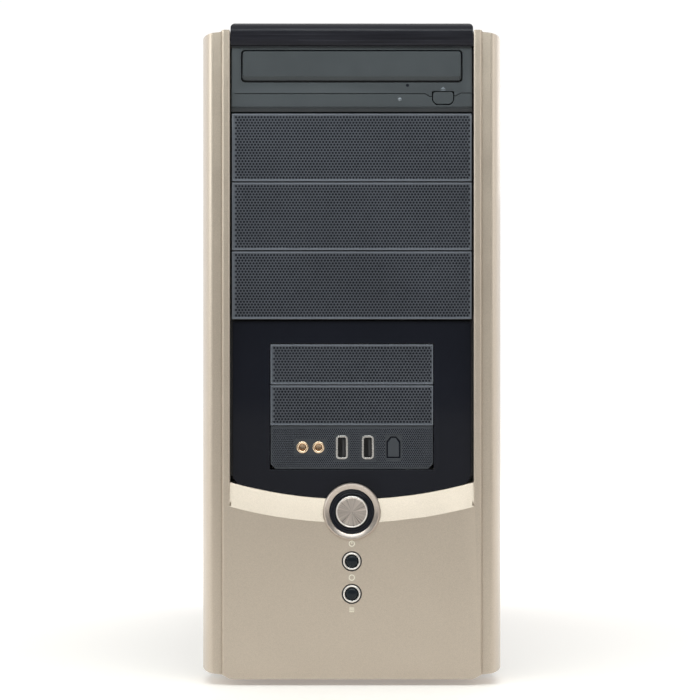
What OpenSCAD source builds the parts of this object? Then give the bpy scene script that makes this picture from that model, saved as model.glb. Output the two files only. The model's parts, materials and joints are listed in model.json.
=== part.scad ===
// Desktop computer tower: painted bezel, four wide bays, glossy port fascia and round controls on
// a sheet-steel chassis with a power supply, motherboard, optical drive and hard drive inside.
// Millimetres. +Z is up, the front looks along -Y, and the origin is at the middle of the footprint.

/* [Overall] */
// Width over the bezel's outer columns
overall_w = 186; // [182:1:230]
// Height from the floor to the top of the glossy cap
overall_h = 407.6; // [401.2:0.2:500]
// Depth from the power button to the thumbscrew heads
overall_d = 430; // [355:1:520]

/* [Bezel] */
// Depth of the bezel moulding
bezel_d = 38; // [34:1:46]
// Wall of the bezel moulding
bezel_wall = 2.4; // [1.8:0.1:3]
// Half width of the flat centre panel and the raised strips beside the bays
panel_half = 79.6; // [79:0.1:80.4]
// Half width of the opening that holds the bay covers
window_half = 75; // [74.9:0.1:76]
// Height of the column ends above the lowest edge of the centre panel
column_lift = 2.7; // [1:0.1:5]
// How far the column ends slope towards their outer sides
end_slope = 2; // [0:0.2:3]
// Gap between the floor and the bezel's lower edge
floor_gap = 4; // [2:0.5:8]
// Radius of the curved band's lower edge
band_front_r = 288; // [270:1:320]
// Radius of the curved band's upper edge, where the fascia sits
band_back_r = 274; // [260:1:310]
// Depth that the fascia lies behind the front plane
fascia_recess = 6; // [4:0.5:8]

/* [Bays] */
// Height of one wide bay
bay_pitch = 42.4; // [42:0.1:43.5]
// Number of wide bays
bay_count = 4; // [4:1:4]
// Depth of the bay covers behind the front plane
cover_recess = 4; // [3:0.5:5]
// Gap all round a bay cover
cover_gap = 0.4; // [0.2:0.1:0.8]
// Height of one small bay
small_pitch = 25.3; // [25:0.1:27]
// Half width of the small bays
small_half = 50.5; // [50:0.1:51.5]
// Height of the port panel under the small bays
port_panel_h = 27; // [26:0.5:30]

/* [Controls] */
// Radius of the power button
power_r = 9.8; // [8:0.1:11]
// How far the power button stands out of the front plane
button_proud = 2.5; // [1.5:0.1:4]
// Travel of the power button
power_travel = 2; // [1:0.1:3]
// Radius of the reset button and of the activity light
reset_r = 3.9; // [3:0.1:4.5]
// Travel of the reset button
reset_travel = 1.5; // [0.8:0.1:2]
// Radial gap round a moving button
button_gap = 0.3; // [0.2:0.05:0.5]

/* [Ports] */
// Bore radius of the audio sockets
jack_r = 1.8; // [1.75:0.05:1.9]
// Distance between the two audio sockets
jack_pitch = 9.9; // [8:0.1:11]
// Distance between the two USB sockets
usb_pitch = 16; // [10:0.1:16]

/* [Optical drive] */
// Width of the drive case
drive_w = 146; // [144:0.5:147]
// Length of the drive case
drive_len = 171; // [165:1:200]
// Travel of the disc tray
tray_travel = 150; // [120:1:150]
// Pitch radius of the loading gear
gear_r = 8; // [6:1:9]

/* [Chassis] */
// Thickness of the steel sheet
sheet = 1; // [0.7:0.1:1.2]
// Height of the rubber feet
foot_h = 12; // [8:0.5:14]
// Length of a drive cage
cage_len = 128; // [110:1:140]
// Travel of a side panel as it slides off to the rear
panel_travel = 25; // [10:1:40]

/* [Power supply] */
// Width of the power supply
psu_w = 150; // [140:1:150]
// Height of the power supply
psu_h = 86; // [80:1:86]
// Length of the power supply
psu_len = 140; // [120:1:150]

/* [Motherboard] */
// Side of the square motherboard
board_side = 243.8; // [220:0.2:244]
// Height of the stand-offs under the motherboard
standoff_h = 6.4; // [5:0.1:8]
// Number of expansion slots
slot_count = 4; // [3:1:4]

/* [Hidden] */
$fn = 64;
column_crest_d = 0.9;
column_dip = 2.2;
screw_head_h = 9;
screw_r = 1.7;
screw_gap = 0.1;
panel_sheet = 0.8;
panel_gap = 0.6;
face_y = -overall_d / 2 + button_proud;
front_y = face_y + bezel_d;
rear_in = overall_d / 2 - screw_head_h - panel_sheet - 1.2;
rear_out = rear_in + sheet;
half_w = overall_w / 2;
skin_x = half_w - 0.4;
frame_x = skin_x - panel_sheet - panel_gap;
base_z = foot_h;
cap_rise = 5.1;
column_top = overall_h - cap_rise;
column_bottom = floor_gap + column_lift;
column_crest = panel_half + 5.2;
lid_z = column_top - 3.5;
bays_top = column_top - 8.3;
bays_bottom = bays_top - bay_count * bay_pitch;
fascia_top = bays_bottom - 1;
small_top = bays_bottom - 14.7;
ports_top = small_top - 2 * small_pitch;
ports_bottom = ports_top - port_panel_h;
band_z = ports_bottom + 255.7;
power_z = band_z - 281.1;
reset_z = power_z - 30.5;
light_z = reset_z - 20;
ports_z = ports_bottom + port_panel_h / 2 + 0.2;
ring_in = power_r + button_gap;
ring_out = 13.7;
collar_in = 13.9;
collar_out = 17;
small_ring_in = reset_r + 0.2;
small_ring_out = 5.4;
carrier_d = 12;
board_d = 24;
switch_h = 1.5;
drive_half = drive_w / 2;
drive_z0 = bays_top - bay_pitch + 0.9;
drive_z1 = bays_top - 0.9;
drive_d = cover_recess + 5.2;
tray_front_z0 = bays_top - 23.1;
tray_front_z1 = bays_top - 4.2;
tray_front_half = 67.4;
tray_half = 64.5;
tray_z0 = tray_front_z0 + 2.4;
tray_z1 = tray_z0 + 7;
tray_end = drive_d + drive_len - 10;
disc_d = 75;
eject_x = 56.2;
eject_z = bays_top - 33.2;
eject_travel = 1;
gear_d = 18.5;
gear_teeth = gear_r * 2;
rack_x = -59.3;
gear_z = tray_z0 - 3.9;
tooth_pitch = 180 / gear_teeth * gear_r * 3.14159265 / 90;
cage_half = 74.2;
cage_y1 = front_y + sheet + cage_len;
small_cage_half = small_half + 0.8;
psu_x0 = half_w - 15 - psu_w;
psu_x1 = psu_x0 + psu_w;
psu_z1 = lid_z - sheet - 0.2;
psu_z0 = psu_z1 - psu_h;
psu_y0 = rear_in - psu_len;
psu_wall = 0.8;
psu_fan_x = psu_x0 + 43;
psu_fan_z = (psu_z0 + psu_z1) / 2;
inlet_x = psu_x1 - 27;
inlet_z = psu_z0 + 20;
rocker_z = psu_z0 + 49;
selector_z = psu_z0 + 71;
rocker_tilt = 11;
tray_x = half_w - 9;
board_x1 = tray_x - standoff_h;
board_x0 = board_x1 - 1.6;
board_z1 = psu_z0 - 7;
board_z0 = board_z1 - board_side;
board_y1 = rear_in - 1.6;
board_y0 = board_y1 - board_side;
io_z1 = board_z1 + 2.4;
io_h = 158.75;
io_w = 44.45;
io_z0 = io_z1 - io_h;
io_x1 = board_x0 - 0.2;
io_x0 = io_x1 - io_w;
slot_pitch = 20.32;
slot_top = io_z0 - 11.5;
fan_size = 80;
fan_t = 25;
rear_fan_x = io_x0 - 24 - fan_size / 2;
rear_fan_z = psu_z0 - 14 - fan_size / 2;
cooler_y = rear_in - 100;
cooler_z = board_z1 - 64;
cooler_x1 = board_x0 - 8;
cooler_side = 76;
cooler_h = 40;
cpu_fan_size = 70;
cpu_fan_t = 15;
fan_gap = 1.5;
thumb_x = half_w - 5.2;
thumb_head_r = 4.8;
thumb_z = [lid_z - 40, base_z + 48];
foot_r = 13;
foot_x = half_w - 26;
foot_y = [front_y + 34, rear_in - 34];

// Distance d behind the front plane, as a Y coordinate
function fy(d) = face_y + d;

// Box between two corners
module block(x0, x1, y0, y1, z0, z1) {
  translate([x0, y0, z0]) cube([x1 - x0, y1 - y0, z1 - z0]);
}

// Flat shape in X and Z, drawn out from y0 to y1
module along_y(y0, y1) {
  translate([0, y1, 0]) rotate([90, 0, 0]) linear_extrude(y1 - y0) children();
}

// Flat shape in Y and Z, drawn out from x0 to x1
module along_x(x0, x1) {
  translate([x0, 0, 0]) rotate([90, 0, 90]) linear_extrude(x1 - x0) children();
}

// Round rod along each axis
module rod_y(x, z, y0, y1, r) {
  translate([x, y0, z]) rotate([-90, 0, 0]) cylinder(h = y1 - y0, r = r);
}
module rod_x(y, z, x0, x1, r) {
  translate([x0, y, z]) rotate([0, 90, 0]) cylinder(h = x1 - x0, r = r);
}
module rod_z(x, y, z0, z1, r) {
  translate([x, y, z0]) cylinder(h = z1 - z0, r = r);
}

// Both sides of the object
module both_sides() {
  children();
  mirror([1, 0, 0]) children();
}

// ---- Bezel ----

// Outer column in plan, from the groove to the side wall, with its surface moved in by inset
function column_curve(inset) = concat(
  [for (t = [0 : 18 : 72])
    [panel_half + 0.3 + (column_crest - panel_half - 0.3) * sin(t),
     fy(column_dip - (column_dip - column_crest_d) * sin(t) + inset)]],
  [for (t = [0 : 4.5 : 90])
    [column_crest + (half_w - column_crest - inset) * sin(t),
     fy(bezel_d - 8 - (bezel_d - 8 - column_crest_d - inset) * cos(t))]]
);
function mirrored(points) = [for (i = [len(points) - 1 : -1 : 0]) [-points[i][0], points[i][1]]];
function bezel_half_plan() = concat(
  [[panel_half - 0.9, fy(0)], [panel_half, fy(0.9)], [panel_half + 0.1, fy(column_dip)]],
  column_curve(0), [[half_w, fy(bezel_d)]]
);
function hem_points() = [
  for (t = [0 : 0.125 : 1])
    [panel_half - 6.6 + 7.4 * t, floor_gap + column_lift * (1 - cos(180 * t)) / 2]
];
function silhouette_half() = concat(hem_points(), [
  [half_w, column_bottom + end_slope], [half_w, column_top - 1 - end_slope],
  [panel_half + 0.8, column_top - 1], [panel_half + 0.2, column_top]
]);

module bezel_solid() {
  intersection() {
    translate([0, 0, floor_gap]) linear_extrude(column_top - floor_gap)
      polygon(concat(bezel_half_plan(), mirrored(bezel_half_plan())));
    along_y(fy(-1), fy(bezel_d + 1)) polygon(concat(silhouette_half(), mirrored(silhouette_half())));
  }
}

module column_cavity() {
  translate([0, 0, column_bottom + end_slope + bezel_wall])
    linear_extrude(column_top - column_bottom - 1 - 2 * end_slope - 2 * bezel_wall)
    polygon(concat([[window_half + 2, fy(bezel_wall + 1)]], column_curve(bezel_wall),
      [[half_w - bezel_wall, fy(bezel_d + 1)], [window_half + 2, fy(bezel_d + 1)]]));
}

// Slanted inner edge of the raised strip beside the bays, from the band up
module strip_chamfer() {
  z0 = band_z - sqrt(band_front_r * band_front_r - window_half * window_half) + 0.5;
  translate([0, 0, z0]) linear_extrude(column_top - z0 + 1)
    polygon([[window_half - 1, fy(-0.2)], [window_half + 0.9, fy(-0.2)], [window_half - 1, fy(1.7)]]);
}

// Space that the curved band's cone and the fascia's round edge leave open above them
module band_cut() {
  intersection() {
    block(-window_half, window_half, fy(-1), fy(bezel_d + 1), power_z - 14, column_top + 1);
    union() {
      translate([0, fy(0), band_z]) rotate([-90, 0, 0])
        cylinder(h = fascia_recess, r1 = band_front_r, r2 = band_back_r, $fn = 180);
      rod_y(0, band_z, fy(-1), fy(bezel_d + 1), band_back_r, $fn = 180);
    }
  }
}

module under_band_cavity() {
  difference() {
    block(-window_half + 3, window_half - 3, fy(carrier_d), fy(bezel_d + 1), power_z - 14, power_z + 17);
    rod_y(0, band_z, fy(0), fy(bezel_d + 2), band_back_r + bezel_wall, $fn = 180);
  }
}

module front_bezel() {
  color([0.72, 0.67, 0.6]) {
    difference() {
      bezel_solid();
      both_sides() column_cavity();
      band_cut();
      both_sides() strip_chamfer();
      under_band_cavity();
      block(-window_half, window_half, fy(bezel_wall), fy(bezel_d + 1), floor_gap + bezel_wall, power_z - 13.9);
      rod_y(0, power_z, fy(-1), fy(bezel_d + 1), collar_out + 0.1);
      for (z = [reset_z, light_z]) {
        rod_y(0, z, fy(-1), fy(bezel_d), small_ring_out + 0.1);
        rod_y(0, z, fy(-1), fy(0.8), small_ring_out + 0.8);
      }
    }
    for (x = [-19, 19], z = [light_z, reset_z]) rod_y(x, z, fy(bezel_wall), fy(carrier_d), 3);
  }
}

// Outline of the fascia: straight sides and top, a round lower edge and rounded lower corners
function fascia_outline(half, edge_r, corner_r) = concat(
  [[half, fascia_top]],
  [for (t = [0 : -10 : -75]) let (cx = half - corner_r, cz = band_z - sqrt(pow(edge_r - corner_r, 2) - cx * cx))
    [cx + corner_r * cos(t), cz + corner_r * sin(t)]],
  [for (x = [half - corner_r - 4 : -3.5 : 0]) [x, band_z - sqrt(edge_r * edge_r - x * x)]]
);

module gloss_fascia() {
  outline = fascia_outline(window_half - 1.5, band_back_r - 0.3, 7);
  color([0.06, 0.07, 0.1]) difference() {
    along_y(fy(fascia_recess), fy(fascia_recess + 2.5)) polygon(concat(outline, mirrored(outline)));
    block(-small_half, small_half, fy(0), fy(bezel_d), ports_bottom, small_top);
    rod_y(0, power_z, fy(0), fy(bezel_d), collar_out + 0.4);
  }
}

module bay_frame() {
  plate_y = fy(fascia_recess + 2.5);
  color([0.12, 0.12, 0.13]) {
    both_sides()
      block(window_half - 1.4, window_half, plate_y + 1.7, fy(bezel_d - 2), ports_bottom - 4, bays_top - 1.4);
    for (i = [1 : bay_count])
      block(-window_half + 1.4, window_half - 1.4, plate_y + 1.7, plate_y + 14,
        bays_top - i * bay_pitch - 1.9, bays_top - i * bay_pitch + (i == 1 ? -0.5 : 1.5));
    difference() {
      block(-window_half, window_half, plate_y, plate_y + 1.7, ports_bottom - 4, bays_bottom - 0.5);
      block(-small_half, small_half, plate_y - 1, plate_y + 3, ports_bottom, small_top);
    }
  }
}

// Cap in side view, from its front lip over the crown to its rear edge
function cap_profile() = concat(
  [[fy(2.4), bays_top - 1.4], [fy(1.6), bays_top - 0.8], [fy(1.2), bays_top + 0.4]],
  [for (t = [0 : 5 : 90]) [fy(9 - 7.8 * cos(t)), overall_h - 6 + 6 * sin(t)]],
  [[fy(bezel_d), overall_h - 2], [fy(bezel_d), bays_top - 1.4]]
);

module cap_front() {
  half = window_half - 0.5;
  r = 3.5;
  union() {
    translate([-half, bays_top - 2]) square([2 * half, overall_h - bays_top + 2 - r]);
    translate([-half + r, overall_h - r - 1]) square([2 * (half - r), r + 1]);
    for (x = [-half + r, half - r]) translate([x, overall_h - r]) circle(r = r);
  }
}

module top_cap() {
  color([0.14, 0.14, 0.16]) difference() {
    intersection() {
      along_x(-window_half, window_half) polygon(cap_profile());
      along_y(fy(0), fy(bezel_d)) cap_front();
    }
    block(-window_half + 3, window_half - 3, fy(3.7), fy(bezel_d + 1), bays_top - 3, overall_h - 4.4);
    block(-window_half - 1, window_half + 1, fy(3.7), fy(bezel_d + 1), bays_top - 3, bays_top + 0.2);
  }
}

// ---- Bay covers and ports ----

module cover_plate(half, z0, z1, d0, arm_x) {
  difference() {
    block(-half, half, fy(d0 - 0.6), fy(d0 + 2.5), z0, z1);
    block(-half - 1, half + 1, fy(d0 - 1), fy(d0), z0 + 1.2, z1 - 1.2);
  }
  for (x = [-arm_x, arm_x - 2])
    block(x, x + 2, fy(d0 + 2.5), fy(d0 + 16), (z0 + z1) / 2 - 8, (z0 + z1) / 2 + 8);
}

module bay_cover(i) {
  z1 = bays_top - i * bay_pitch;
  color([0.26, 0.28, 0.31])
    cover_plate(window_half - 1.3, z1 - bay_pitch + cover_gap, z1 - cover_gap, cover_recess, window_half - 3);
}

module small_cover(i) {
  z1 = small_top - i * small_pitch;
  color([0.26, 0.28, 0.31])
    cover_plate(small_half - cover_gap, z1 - small_pitch + cover_gap / 2, z1 - cover_gap,
      fascia_recess + 0.7, small_half - 3);
}

jack_x = [-20.5 - jack_pitch, -20.5];
usb_x = [9.9 - usb_pitch, 9.9];
blank_x = 25.7;

module blank_outline(grow) {
  w = 4.3 + grow;
  h = 6.7 + grow;
  polygon([[-w, -h], [w, -h], [w, h - 3], [w - 2.6, h], [-w + 2.6, h], [-w, h - 3]]);
}

module io_panel() {
  half = small_half - cover_gap;
  z1 = ports_top - cover_gap / 2;
  z0 = ports_bottom + cover_gap;
  y0 = fy(fascia_recess + 0.7);
  color([0.26, 0.28, 0.31]) {
    difference() {
      along_y(y0, y0 + 2.3) polygon([[-half, z1], [half, z1], [half, z0 + 3], [half - 3, z0],
        [-half + 3, z0], [-half, z0 + 3]]);
      for (x = jack_x) rod_y(x, ports_z, y0 - 1, y0 + 4, 3.1);
      for (x = usb_x) block(x - 3.05, x + 3.05, y0 - 1, y0 + 4, ports_z - 6.8, ports_z + 6.8);
      along_y(y0 - 1, y0 + 4) translate([blank_x, ports_z]) blank_outline(0);
    }
    along_y(y0 + 0.8, y0 + 2.3) translate([blank_x, ports_z]) blank_outline(0);
  }
}

module audio_jacks() {
  y0 = fy(fascia_recess);
  color([0.8, 0.66, 0.5]) for (x = jack_x) difference() {
    union() {
      rod_y(x, ports_z, y0, y0 + 0.7, 3.7);
      rod_y(x, ports_z, y0, fy(board_d - 4), 3);
    }
    rod_y(x, ports_z, y0 - 1, y0 + 12, jack_r);
  }
}

module usb_sockets() {
  y0 = fy(fascia_recess);
  color([0.75, 0.76, 0.78]) for (x = usb_x) {
    difference() {
      union() {
        block(x - 3.8, x + 3.8, y0, y0 + 0.7, ports_z - 7.4, ports_z + 7.4);
        block(x - 2.95, x + 2.95, y0, fy(board_d - 4), ports_z - 6.65, ports_z + 6.65);
      }
      block(x - 2.6, x + 2.6, y0 - 1, fy(board_d), ports_z - 6.3, ports_z + 6.3);
    }
    block(x + 0.2, x + 2, y0 + 2, fy(board_d - 7), ports_z - 5.5, ports_z + 5.5);
    block(x - 2.6, x + 2.6, fy(board_d - 7), fy(board_d - 4), ports_z - 6.3, ports_z + 6.3);
  }
}

module front_boards() {
  color([0.1, 0.35, 0.2]) {
    block(-38, 34, fy(board_d - 4), fy(board_d - 2.4), ports_z - 10, ports_z + 10);
    block(-14, 14, fy(board_d), fy(board_d + 1.6), light_z - 9, power_z + 8);
    for (z = [power_z, reset_z])
      block(-3.2, 3.2, fy(board_d - switch_h), fy(board_d), z - 3.2, z + 3.2);
    block(-8, 8, fy(board_d + 1.6), fy(board_d + 8), light_z - 6, light_z);
  }
}

// ---- Controls ----

module button_collar() {
  color([0.8, 0.75, 0.7]) difference() {
    rod_y(0, power_z, fy(-1.4), fy(carrier_d - 1), collar_out);
    rod_y(0, power_z, fy(-2), fy(carrier_d), collar_in);
  }
}

module power_light_ring() {
  color([0.06, 0.06, 0.08]) difference() {
    rod_y(0, power_z, fy(-1.8), fy(carrier_d - 1), ring_out);
    rod_y(0, power_z, fy(-3), fy(carrier_d), ring_in);
  }
}

module power_button() {
  stem_end = board_d - switch_h - power_travel - 0.2;
  color([0.7, 0.65, 0.6]) {
    rod_y(0, power_z, fy(-button_proud), fy(3), power_r);
    rod_y(0, power_z, fy(2.9), fy(stem_end), 3);
  }
}

module control_rings() {
  color([0.85, 0.84, 0.82]) for (z = [reset_z, light_z]) difference() {
    rod_y(0, z, fy(-0.4), fy(5), small_ring_out);
    rod_y(0, z, fy(-1), fy(6), small_ring_in);
  }
}

// Front dome of a small round control, as a slice of a ball
module small_dome(z) {
  ball_r = 9;
  intersection() {
    translate([0, fy(-1.2) + ball_r, z]) sphere(r = ball_r);
    rod_y(0, z, fy(-2), fy(4), reset_r);
  }
}

module reset_button() {
  stem_end = board_d - switch_h - reset_travel - 0.2;
  color([0.2, 0.22, 0.25]) {
    small_dome(reset_z);
    rod_y(0, reset_z, fy(3.9), fy(stem_end), 1.6);
  }
}

module activity_light() {
  color([0.2, 0.24, 0.3]) {
    small_dome(light_z);
    rod_y(0, light_z, fy(3.9), fy(board_d - switch_h), 2.2);
  }
}

module control_carrier() {
  color([0.12, 0.12, 0.13]) difference() {
    union() {
      block(-22, 22, fy(carrier_d), fy(carrier_d + 2.5), light_z - 10, power_z + 2);
      rod_y(0, power_z, fy(carrier_d), fy(carrier_d + 2.5), 11);
      for (x = [-10, 10], z = [light_z - 5, power_z + 3])
        rod_y(x, z, fy(carrier_d + 1), fy(board_d), 2.5);
    }
    rod_y(0, power_z, fy(carrier_d - 1), fy(board_d), 3.3);
    rod_y(0, reset_z, fy(carrier_d - 1), fy(board_d), 1.9);
    rod_y(0, light_z, fy(carrier_d - 1), fy(board_d), 2.3);
  }
}

// ---- Optical drive ----

module drive_case() {
  y1 = fy(drive_d + drive_len);
  color([0.7, 0.72, 0.73]) difference() {
    block(-drive_half, drive_half, fy(drive_d), y1, drive_z0, drive_z1);
    block(-drive_half + 0.8, drive_half - 0.8, fy(drive_d - 1), y1 - 0.8, drive_z0 + 0.8, drive_z1 - 0.8);
  }
}

// Eject button outline: a rounded trapezoid, narrower below
module eject_outline(grow) {
  translate([eject_x, eject_z])
    polygon([[-6.2 - grow, 3.7 + grow], [6.2 + grow, 3.7 + grow], [6.2 + grow, -1.2], [4.2 + grow, -3.7 - grow],
      [-4.2 - grow, -3.7 - grow], [-6.2 - grow, -1.2]]);
}

module drive_bezel() {
  half = window_half - 1;
  z0 = bays_top - bay_pitch + cover_gap;
  color([0.29, 0.31, 0.32]) difference() {
    block(-half, half, fy(cover_recess), fy(drive_d), z0, bays_top - cover_gap);
    block(-tray_front_half - 0.5, tray_front_half + 0.5, fy(0), fy(drive_d + 1), tray_front_z0 - 0.5, tray_front_z1 + 0.5);
    along_y(fy(0), fy(drive_d + 1)) eject_outline(button_gap);
    rod_y(33.3, eject_z + 7.2, fy(0), fy(drive_d + 1), 0.7);
    along_x(-half - 1, half + 1)
      polygon([[fy(cover_recess - 1), z0 - 1], [fy(cover_recess + 2), z0 - 1], [fy(cover_recess - 1), z0 + 5]]);
  }
}

module tray_front() {
  color([0.31, 0.33, 0.35])
    along_x(-tray_front_half, tray_front_half) polygon([
      [fy(cover_recess - 0.8), tray_front_z1], [fy(drive_d), tray_front_z1], [fy(drive_d), tray_front_z0],
      [fy(cover_recess + 1), tray_front_z0], [fy(cover_recess - 0.8), tray_front_z0 + 2.6]]);
}

function rack_teeth() = [
  for (k = [0 : floor((tray_end - gear_d - 4) / tooth_pitch)])
    for (p = [[-0.27, 0], [-0.12, 1], [0.12, 1], [0.27, 0]])
      let (y = gear_d + (k + 0.5 + p[0]) * tooth_pitch)
        [rack_x + (p[1] == 1 ? 0.75 : -1.1), fy(y)]
];

module disc_tray() {
  y0 = fy(drive_d);
  color([0.12, 0.12, 0.13]) {
    difference() {
      block(-tray_half, tray_half, y0, fy(tray_end), tray_z0, tray_z1);
      rod_z(0, fy(disc_d), tray_z1 - 3, tray_z1 + 1, 60.5);
      rod_z(0, fy(disc_d), tray_z1 - 4.5, tray_z1 + 1, 41);
      rod_z(0, fy(disc_d), tray_z0 - 1, tray_z1 + 1, 21);
      block(-21, 21, fy(disc_d), fy(tray_end + 1), tray_z0 - 1, tray_z1 + 1);
    }
    translate([0, 0, tray_front_z0]) linear_extrude(tray_z0 - tray_front_z0 + 0.1) polygon(concat(
      [[rack_x - 3, fy(gear_d)], [rack_x - 1.1, fy(gear_d)]], rack_teeth(),
      [[rack_x - 1.1, fy(tray_end - 2)], [rack_x - 3, fy(tray_end - 2)]]));
  }
}

function gear_outline() = [
  for (k = [0 : gear_teeth - 1])
    for (p = [[-0.27, -1.1], [-0.12, 0.75], [0.12, 0.75], [0.27, -1.1]])
      let (a = 180 + (k + p[0]) * 360 / gear_teeth) [(gear_r + p[1]) * cos(a), (gear_r + p[1]) * sin(a)]
];

module loading_gear() {
  color([0.85, 0.85, 0.8]) translate([rack_x + gear_r, fy(gear_d), gear_z]) linear_extrude(3.5) difference() {
    polygon(gear_outline());
    circle(r = 2.06);
  }
}

module drive_loader() {
  z0 = drive_z0 + 0.8;
  y0 = fy(drive_d + 0.6);
  color([0.16, 0.16, 0.17]) {
    difference() {
      union() {
        block(-tray_half - 2, tray_half + 2, y0, fy(tray_end - 20), z0, z0 + 2);
        rod_z(0, fy(disc_d), z0, z0 + 6, 13);
      }
      rod_z(0, fy(disc_d), z0 + 3, z0 + 7, 1.56);
    }
    both_sides() block(tray_half + 0.4, tray_half + 4, y0, fy(tray_end - 20), z0, tray_z1 + 1);
    rod_z(rack_x + gear_r, fy(gear_d), z0, gear_z - 0.4, 5);
    rod_z(rack_x + gear_r, fy(gear_d), z0, gear_z + 3.6, 2);
  }
}

module disc_spindle() {
  z0 = drive_z0 + 7.2;
  color([0.3, 0.3, 0.32]) {
    rod_z(0, fy(disc_d), z0, tray_z1 - 3.2, 12);
    rod_z(0, fy(disc_d), tray_z1 - 3.3, tray_z1, 7.4);
    rod_z(0, fy(disc_d), z0 - 3, z0 + 1, 1.5);
  }
}

module eject_button() {
  color([0.33, 0.35, 0.37]) {
    along_y(fy(cover_recess - 0.6), fy(drive_d)) eject_outline(0);
    rod_y(eject_x, eject_z, fy(drive_d - 0.5), fy(drive_d + 8), 1.6);
  }
}

module hard_drive() {
  z0 = base_z + 48;
  y0 = front_y + 14;
  color([0.62, 0.63, 0.64]) {
    difference() {
      block(-50.8, 50.8, y0, y0 + 147, z0 + 1.6, z0 + 22);
      rod_z(0, y0 + 95, z0 + 21, z0 + 23, 10);
    }
    block(-48, 48, y0 + 3, y0 + 92, z0 + 22, z0 + 25.4);
    block(-46, 46, y0 + 2, y0 + 130, z0, z0 + 1.6);
  }
}

// ---- Chassis ----

module chassis_base() {
  color([0.7, 0.71, 0.72]) {
    block(-frame_x, frame_x, front_y + sheet, rear_in, base_z, base_z + sheet);
    both_sides() block(frame_x - sheet, frame_x, front_y + sheet, rear_in, base_z, base_z + 16);
  }
}

module chassis_top() {
  color([0.16, 0.16, 0.17]) {
    block(-frame_x, frame_x, front_y + sheet, rear_in, lid_z - sheet, lid_z);
    both_sides() block(frame_x - sheet, frame_x, front_y + sheet, rear_in, lid_z - 16, lid_z);
  }
}

module fan_grille(x, z, bars_y0, bars_y1) {
  for (r = [6, 14, 22, 30]) rod_ring(x, z, bars_y0, bars_y1, r, 1.6);
  for (a = [45, 135]) translate([x, 0, z]) rotate([0, a, 0])
    block(-38.5, 38.5, bars_y0, bars_y1, -1.5, 1.5);
}

module rod_ring(x, z, y0, y1, r, w) {
  difference() {
    rod_y(x, z, y0, y1, r + w);
    rod_y(x, z, y0 - 1, y1 + 1, r);
  }
}

module slot_opening(i) {
  z = slot_top - i * slot_pitch;
  block(io_x1 - 108, io_x1 - 4, rear_in - 1, rear_out + 1, z - 6, z + 6);
}

module chassis_rear() {
  color([0.7, 0.71, 0.72]) {
    difference() {
      block(-frame_x, frame_x, rear_in, rear_out, base_z, lid_z);
      block(psu_x0 + 3, psu_x1 - 3, rear_in - 1, rear_out + 1, psu_z0 + 3, psu_z1 - 3);
      block(io_x0, io_x1, rear_in - 1, rear_out + 1, io_z0, io_z1);
      for (i = [0 : slot_count - 1]) slot_opening(i);
      rod_y(rear_fan_x, rear_fan_z, rear_in - 1, rear_out + 1, 38);
      for (x = [-thumb_x, thumb_x], z = thumb_z)
        rod_y(x, z, rear_in - 1, rear_out + 1, screw_r + screw_gap);
      for (x = [-35.75, 35.75], z = [-35.75, 35.75])
        rod_y(rear_fan_x + x, rear_fan_z + z, rear_in - 1, rear_out + 1, 2.2);
    }
    fan_grille(rear_fan_x, rear_fan_z, rear_in, rear_out);
  }
}

module chassis_front() {
  color([0.7, 0.71, 0.72]) difference() {
    block(-frame_x, frame_x, front_y, front_y + sheet, base_z, lid_z);
    block(-cage_half, cage_half, front_y - 1, front_y + 2, bays_bottom + 1, bays_top - 0.4);
    block(-small_cage_half, small_cage_half, front_y - 1, front_y + 2, ports_bottom, bays_bottom - 4);
    for (row = [0 : 4], x = [-36 : 12 : 36])
      rod_y(x, base_z + 34 + row * 12, front_y - 1, front_y + 2, 4);
    rod_y(lead_hole_x, lead_hole_z, front_y - 1, front_y + 2, 6);
  }
}

module motherboard_tray() {
  color([0.7, 0.71, 0.72]) {
    difference() {
      block(tray_x, tray_x + sheet, cage_y1 + 8, rear_in, base_z + sheet, lid_z - sheet);
      block(tray_x - 1, tray_x + 2, cooler_y - 40, cooler_y + 40, cooler_z - 40, cooler_z + 40);
      for (z = [board_z0 - 25, psu_z0 + 30]) rod_x(cage_y1 + 34, z, tray_x - 1, tray_x + 2, 10);
    }
    for (y = [board_y0 + 12, board_y0 + 120, board_y1 - 12], z = [board_z0 + 10, board_z1 - 10])
      rod_x(y, z, board_x1, tray_x + sheet / 2, 3);
  }
}

module cage_slots(x, z0, pitch, count) {
  for (i = [0 : count - 1], y = [30, 90])
    block(x - 2, x + 2, front_y + y, front_y + y + 14, z0 + i * pitch - 1.8, z0 + i * pitch + 1.8);
}

module wide_drive_cage() {
  z0 = bays_bottom - 2.5;
  color([0.66, 0.67, 0.68]) {
    both_sides() difference() {
      block(cage_half, cage_half + sheet, front_y + sheet, cage_y1, z0, lid_z - sheet);
      cage_slots(cage_half + sheet / 2, bays_bottom + 14, bay_pitch, bay_count);
    }
    block(-cage_half, cage_half, front_y + sheet, cage_y1, z0, z0 + sheet);
  }
}

module small_drive_cage() {
  z1 = bays_bottom - 2.5;
  color([0.66, 0.67, 0.68]) {
    both_sides() difference() {
      block(small_cage_half, small_cage_half + sheet, front_y + sheet, cage_y1, base_z + sheet, z1);
      cage_slots(small_cage_half + sheet / 2, base_z + 56, 25.4, 6);
    }
    block(-small_cage_half, small_cage_half, front_y + sheet, cage_y1, z1 - sheet, z1);
  }
}

module feet() {
  color([0.08, 0.08, 0.08]) for (x = [-foot_x, foot_x], y = foot_y)
    translate([x, y, 0]) rotate_extrude()
      polygon([[0, 0], [foot_r - 2, 0], [foot_r - 1, 1], [foot_r, base_z], [0, base_z]]);
}

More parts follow.
